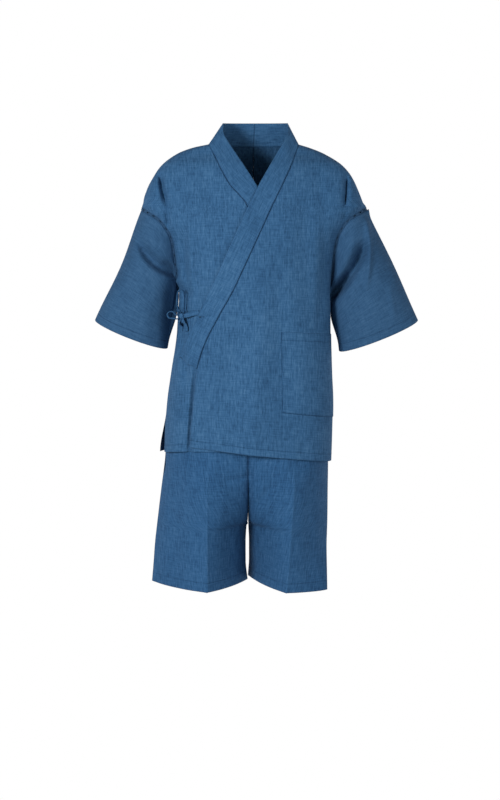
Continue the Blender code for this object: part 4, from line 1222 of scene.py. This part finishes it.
def knot():
    """The knot: one turn of the band round the others, with the folds of pulling it tight."""
    bm = bmesh.new()
    bmesh.ops.create_icosphere(bm, subdivisions=5, radius=1.0)
    for vert in bm.verts:
        co = vert.co.normalized()
        wrap = sin(9.0 * (co.x + 0.35 * co.z) + 1.5 * noise.noise(co * 2.2))
        crease = 0.09 * wrap + 0.05 * noise.noise(co * 5.0)
        belt = 1.0 + 0.10 * bell(co.x * 2.4)
        co = Vector((co.x * 0.98, co.y * 0.92, co.z * 1.06)) * belt * (1.0 + crease)
        vert.co = KNOT_MIDDLE + co * KNOT_RADIUS * 0.95
    mesh = bpy.data.meshes.new("tie_knot_cloth")
    bm.to_mesh(mesh)
    bm.free()
    points = [vertex.co - KNOT_MIDDLE for vertex in mesh.vertices]
    layout = [(point.x + point.y, point.z) for point in points]
    write_cloth(mesh, layout, [(FAR, FAR, FAR)] * len(points))
    mesh.shade_smooth()
    return add_piece("tie_knot_cloth", mesh)


def ties():
    """Every band of the bow, with the solid it stands for."""
    def leaving(way):
        return [knot_side(way), knot_side(way, KNOT_RUN)]

    def coming(way):
        return leaving(way)[::-1]

    def on_cloth(*places):
        return [on_front(*place) for place in places]

    def loop(first, points, last):
        return leaving(first) + [KNOT_MIDDLE + Vector(point) for point in points] + coming(last)

    collar_side = on_cloth((-0.1190, -0.3715, TIE_CLEAR), (-0.1265, -0.3735, TIE_CLEAR + 0.0004))
    seam_side = on_cloth((-0.1690, -0.3640, 0.0030), (-0.1655, -0.3690, 0.0040))
    low = loop((-1.0, -0.35, 0.22), LOW_LOOP, (-0.85, -0.45, -0.50))
    tall = loop((-0.40, -0.55, 1.0), TALL_LOOP, (0.45, -0.60, 1.0))
    front_end = leaving((0.22, -0.45, -1.0))
    front_end += on_cloth((KNOT_X + 0.0030, KNOT_Z - 0.0200, 0.0044),
                          (KNOT_X + 0.0040, KNOT_Z - 0.0330, 0.0024))
    side_end = leaving((-0.65, 0.05, -1.0))
    side_end += on_cloth((KNOT_X - 0.0080, KNOT_Z - 0.0190, 0.0032),
                         (KNOT_X - 0.0095, KNOT_Z - 0.0310, 0.0022))
    slanted = (0.25, 1.0, 0.15)
    return (
        ("tie_over", collar_side + coming((0.62, -0.78, 0.12)), KNOT_LOOK, 0.0110, False),
        ("tie_side", seam_side + coming((-0.62, 0.76, 0.20)), KNOT_LOOK, 0.0100, False),
        ("tie_loop_low", low, slanted, 0.0075, True),
        ("tie_loop_tall", tall, slanted, 0.0075, True),
        ("tie_end_front", front_end, KNOT_LOOK, 0.0110, False),
        ("tie_end_side", side_end, KNOT_LOOK, 0.0115, False),
    )


class Nodes:
    """Adds nodes to the tree of one material or world."""

    def __init__(self, owner):
        owner.use_nodes = True
        self.tree = owner.node_tree

    def plug(self, node, inputs):
        """Set inputs of a node, each to a value or from another node's output."""
        for key, value in inputs.items():
            if hasattr(value, "is_output"):
                self.tree.links.new(value, node.inputs[key])
            else:
                node.inputs[key].default_value = value

    def add(self, kind, inputs, **settings):
        """A new node with its settings and inputs."""
        node = self.tree.nodes.new("ShaderNode" + kind)
        for key, value in settings.items():
            setattr(node, key, value)
        self.plug(node, inputs)
        return node

    def maths(self, operation, a, b=0.0):
        """Result of one sum on two values."""
        return self.add("Math", {0: a, 1: b}, operation=operation).outputs[0]

    def spread(self, value, start, end, low=0.0, high=1.0):
        """Turn the range from start to end into low to high."""
        return self.add("MapRange", {"Value": value, "From Min": start, "From Max": end,
                                     "To Min": low, "To Max": high}).outputs[0]

    def blend(self, *parts):
        """Sum of values, each times its share."""
        total = 0.0
        for value, share in parts:
            total = self.maths("ADD", total, self.maths("MULTIPLY", value, share))
        return total

    def shades(self, value, first, last, *between):
        """Colour ramp over a value, each stop a position and a colour."""
        node = self.add("ValToRGB", {"Fac": value})
        stops = node.color_ramp.elements
        for stop, (position, colour) in zip(stops, (first, last)):
            stop.position = position
            stop.color = (*colour, 1.0)
        for position, colour in between:
            stops.new(position).color = (*colour, 1.0)
        return node.outputs["Color"]


def cloth_material(name, blues, slub=1.0):
    """Woven indigo cotton: uneven yarns both ways, painted shade along seams and stitch lines, and
    a painted highlight along pressed creases.
    """
    material = bpy.data.materials.new(name)
    nodes = Nodes(material)
    uv = nodes.add("UVMap", {}, uv_map="cloth").outputs["UV"]

    def yarns(across, along, shift, detail=2.0):
        """Noise stretched to a yarn's width across and its thick part's length along."""
        mapping = nodes.add("Mapping", {"Vector": uv, "Location": (shift, 2 * shift, 0.0),
                                        "Scale": (1 / across, 1 / along, 1.0)})
        grain = nodes.add("TexNoise", {"Vector": mapping.outputs[0], "Scale": 1.0,
                                       "Detail": detail, "Roughness": 0.55},
                          noise_dimensions="2D")
        return nodes.spread(grain.outputs["Fac"], 0.30, 0.70)

    warp = yarns(0.0042, 0.034, 3.0)
    fine_warp = yarns(0.0019, 0.013, 7.0)
    weft = yarns(0.030, 0.0026, 11.0)
    fade = yarns(0.110, 0.160, 17.0)
    fibres = yarns(0.0009, 0.0009, 23.0, 1.0)

    attribute = nodes.add("Attribute", {}, attribute_name="lines").outputs["Vector"]
    parts = nodes.add("SeparateXYZ", {"Vector": attribute}).outputs

    def near(part, reach):
        """1 on a line, falling to 0 at its reach on both sides."""
        return nodes.spread(nodes.maths("ABSOLUTE", parts[part]), 0.0, reach, 1.0, 0.0)

    # Painted shade: the tone darkens along seams and stitch lines, where the cloth draws into a
    # groove
    seam = near(0, 0.0022)
    stitch = near(1, 0.0016)
    # Painted highlight: the tone lightens along the ironed crease of the shorts
    crease = near(2, 0.0020)
    even = 0.395 * (slub - 1.0)      # keeps the mean tone, however strong the slubs are
    tone = nodes.blend((warp, 0.29 * slub), (fine_warp, 0.29 * slub), (weft, 0.21 * slub),
                       (fade, 0.13), (fibres, 0.10), (seam, -0.36), (stitch, -0.24),
                       (crease, 0.16))
    tone = nodes.maths("ADD", tone, -0.01 - even)
    relief = nodes.blend((warp, 0.35), (fine_warp, 0.35), (weft, 0.30), (fibres, 0.45),
                         (seam, -0.9), (stitch, -1.1))
    bump = nodes.add("Bump", {"Height": relief, "Strength": 0.55, "Distance": 0.0005})
    dark, middle, light = blues
    nodes.plug(nodes.tree.nodes["Principled BSDF"], {
        "Base Color": nodes.shades(tone, (0.0, dark), (1.0, light), (0.5, middle)),
        "Normal": bump.outputs["Normal"],
        "Roughness": nodes.spread(tone, 0.0, 1.0, 0.92, 0.80),
        "Specular IOR Level": 0.14,
        "Sheen Weight": 0.03,
        "Sheen Roughness": 0.45,
        "Sheen Tint": (0.55, 0.68, 0.90, 1.0),
    })
    return material


def yarn_material(name, colour, scale):
    """Twisted cotton yarn, with the turn of its twist as bump."""
    material = bpy.data.materials.new(name)
    nodes = Nodes(material)
    place = nodes.add("TexCoord", {}).outputs["Object"]
    grain = nodes.add("TexNoise", {"Vector": place, "Scale": scale, "Detail": 3.0}).outputs["Fac"]
    bump = nodes.add("Bump", {"Height": grain, "Strength": 0.5, "Distance": 0.0002})
    dark = [0.6 * part for part in colour]
    pale = [1.3 * part for part in colour]
    nodes.plug(nodes.tree.nodes["Principled BSDF"], {
        "Base Color": nodes.shades(grain, (0.3, dark), (0.7, pale)),
        "Normal": bump.outputs["Normal"],
        "Roughness": 0.85,
        "Specular IOR Level": 0.25,
    })
    return material


def jacket_body(cloth):
    """Both fronts and both backs; returns the grid of each."""
    grids = {"front_left": front_grid("over"), "front_right": front_grid("under"),
             "back_left": back_grid(1), "back_right": back_grid(-1)}
    for node, grid in grids.items():
        def start(point, facing=1 if node == "front_left" else -1, back=node.startswith("back")):
            return -abs(point.x) if back else facing * point.x

        piece = shell(node + "_cloth", grid, 0.0, -WALL, u_start=start, seams="lrt", hem=HEM_DEEP)
        dress(piece, cloth, "cloth", node, held="draped")
    return grids


def collars(cloth):
    """Both halves of the collar band, each folded double."""
    half = 0.5 * COLLAR_THICK
    for node, layer, trim in (("collar_left", "over", 0.0), ("collar_right", "under", UNDER_TRIM)):
        piece = shell(node + "_cloth", collar_grid(layer), half - trim, -half, seams="l")
        dress(piece, cloth, "collar_cloth", node, held="folded")


def patch_pocket(over, cloth, thread):
    """Patch on the over front, made from its points, with its stitches and its hemmed mouth."""
    top = nearest_row(POCKET_TOP_SHARE)
    bottom = nearest_row(SLIT_SHARE)
    grid = [row[TO_ANCHOR:] for row in over[top:bottom + 1]]
    outside = SEAM + POCKET_THICK
    pocket = shell("pocket_cloth", grid, outside, SEAM, seams="lbr", u_start=lambda p: p.x,
                   hem=POCKET_HEM_DEEP, hem_at_top=True)
    dress(pocket, cloth, "cloth", "pocket", held="draped")
    lines = [[row[1] for row in grid], grid[-2][1:], lay_line(grid[::-1], POCKET_HEM_DEEP)]
    dress(stitches("pocket_stitches", lines, outside), thread, "cloth")


def sleeves(cloth, yarn):
    """Both sleeves with their lace; returns the grid of each."""
    grids = []
    for facing, hand in HANDS:
        grid = sleeve_grid(facing)
        node = "sleeve_" + hand
        piece = shell(node + "_cloth", grid, 0.0, -WALL, turn_grain=True, seams="t", hem=CUFF_DEEP)
        dress(piece, cloth, "cloth", node, held="draped")
        grids.append(grid)
        for side in ("front", "back"):
            node = "lace_%s_%s" % (side, hand)
            dress(lace(node + "_yarn", facing, side), yarn, "lace", node)
    return grids


def shorts(cloth):
    """Four leg panels and the waistband; returns the grid of each panel."""
    grids = []
    for facing, hand in HANDS:
        for side in ("front", "back"):
            node = "shorts_%s_%s" % (side, hand)
            grid = leg_grid(facing, side)
            piece = shell(node + "_cloth", grid, 0.0, -WALL, seams="lr", hem=SHORTS_HEM_DEEP,
                          crease=0.5)
            dress(piece, cloth, "shorts_cloth", node, held="draped")
            grids.append(grid)
    band = shell("waistband_cloth", waistband_grid(), 0.0, -WAISTBAND_THICK, ring=True)
    dress(band, cloth, "shorts_cloth", "waistband", held="gathered")
    return grids


def bow(cloth):
    """The two tie bands in their parts, and the knot round them."""
    for seed, (node, points, facing, width, edge_on) in enumerate(ties()):
        piece = tie_band(node + "_cloth", points, facing, width, float(seed), edge_on)
        dress(piece, cloth, "tie_cloth", node, held="folded")
    dress(knot(), cloth, "tie_cloth", "tie_knot")


def main():
    """Every piece of the set in its cloth, and the stitches of the hems."""
    indigo = cloth_material("indigo_slub_cotton", BODY_BLUES)
    # Sleeve cloth with painted shade: darker and greyer blues than the body's
    sleeve_shaded_indigo = cloth_material("sleeve_slub_cotton_painted_shade", SLEEVE_SHADED_BLUES, slub=0.62)
    collar_indigo = cloth_material("collar_slub_cotton", BODY_BLUES, slub=0.85)
    shorts_indigo = cloth_material("shorts_slub_cotton", SHORTS_BLUES)
    tie_indigo = cloth_material("tie_slub_cotton", BODY_BLUES, slub=0.8)
    shaded_lace_yarn = yarn_material("shaded_lace_yarn", LACE_SHADED_BLUE, 900.0)
    thread = yarn_material("sewing_thread", THREAD_BLUE, 1400.0)

    body = jacket_body(indigo)
    collars(collar_indigo)
    patch_pocket(body["front_left"], indigo, thread)
    cuffs = sleeves(sleeve_shaded_indigo, shaded_lace_yarn)
    legs = shorts(shorts_indigo)
    bow(tie_indigo)

    hemmed = ((body.values(), HEM_DEEP), (cuffs, CUFF_DEEP), (legs, SHORTS_HEM_DEEP))
    hems = [lay_line(grid, deep) for grids, deep in hemmed for grid in grids]
    dress(stitches("hem_stitches", hems), thread, "cloth")


# The room's shades, each with its height as a share of the way from straight down to straight up
FLOOR = (0.18, (0.18, 0.18, 0.18))
CEILING = (0.74, (0.08, 0.08, 0.08))
WALLS = ((0.30, (1.0, 1.0, 1.0)), (0.60, (1.0, 1.0, 1.0)))
FRONT_SHADE = 0.66       # the room is this dark on the side that the camera stands on

# Soft lights: place, size and power
LIGHTS = {
    "key": ((-1.9, -2.8, 0.3), 0.8, 82.0),
    "fill": ((2.4, -2.6, 0.1), 2.0, 30.0),
    "behind": ((0.8, 3.0, 1.4), 2.0, 16.0),
}
AIM = Vector((0.0, 0.0, -0.45))         # what the lights point at

CAMERA_PLACE = (-0.0078, -3.4, -0.2618)
CAMERA_DIP = 5.24        # degrees that it looks down
CAMERA_LENS = 67.68
SENSOR_HEIGHT = 36.0


def room():
    """A white room all round, darker overhead and underfoot so that the cloth keeps its shading."""
    world = bpy.data.worlds.new("room")
    nodes = Nodes(world)
    place = nodes.add("TexCoord", {}).outputs["Generated"]
    way = nodes.add("SeparateXYZ", {0: place}).outputs
    nodes.plug(nodes.tree.nodes["Background"], {
        "Color": nodes.shades(nodes.spread(way["Z"], -1.0, 1.0), FLOOR, CEILING, *WALLS),
        "Strength": nodes.spread(way["Y"], -0.5, 0.4, FRONT_SHADE, 1.0),
    })
    bpy.context.scene.world = world


def studio():
    """Plain white room, a soft light from the left of the front, and the photograph's camera."""
    room()
    scene = bpy.context.scene
    scene.view_settings.view_transform = "Standard"
    for name, (place, size, power) in LIGHTS.items():
        data = bpy.data.lights.new(name, "AREA")
        data.size = size
        data.energy = power
        lamp = bpy.data.objects.new(name, data)
        lamp.location = place
        lamp.rotation_euler = (AIM - Vector(place)).to_track_quat("-Z", "Y").to_euler()
        scene.collection.objects.link(lamp)

    data = bpy.data.cameras.new("camera")
    data.sensor_fit = "VERTICAL"
    data.sensor_height = SENSOR_HEIGHT
    data.lens = CAMERA_LENS
    camera = bpy.data.objects.new("camera", data)
    camera.location = CAMERA_PLACE
    camera.rotation_euler = (radians(90.0 - CAMERA_DIP), 0.0, 0.0)
    scene.collection.objects.link(camera)
    scene.camera = camera


main()
studio()
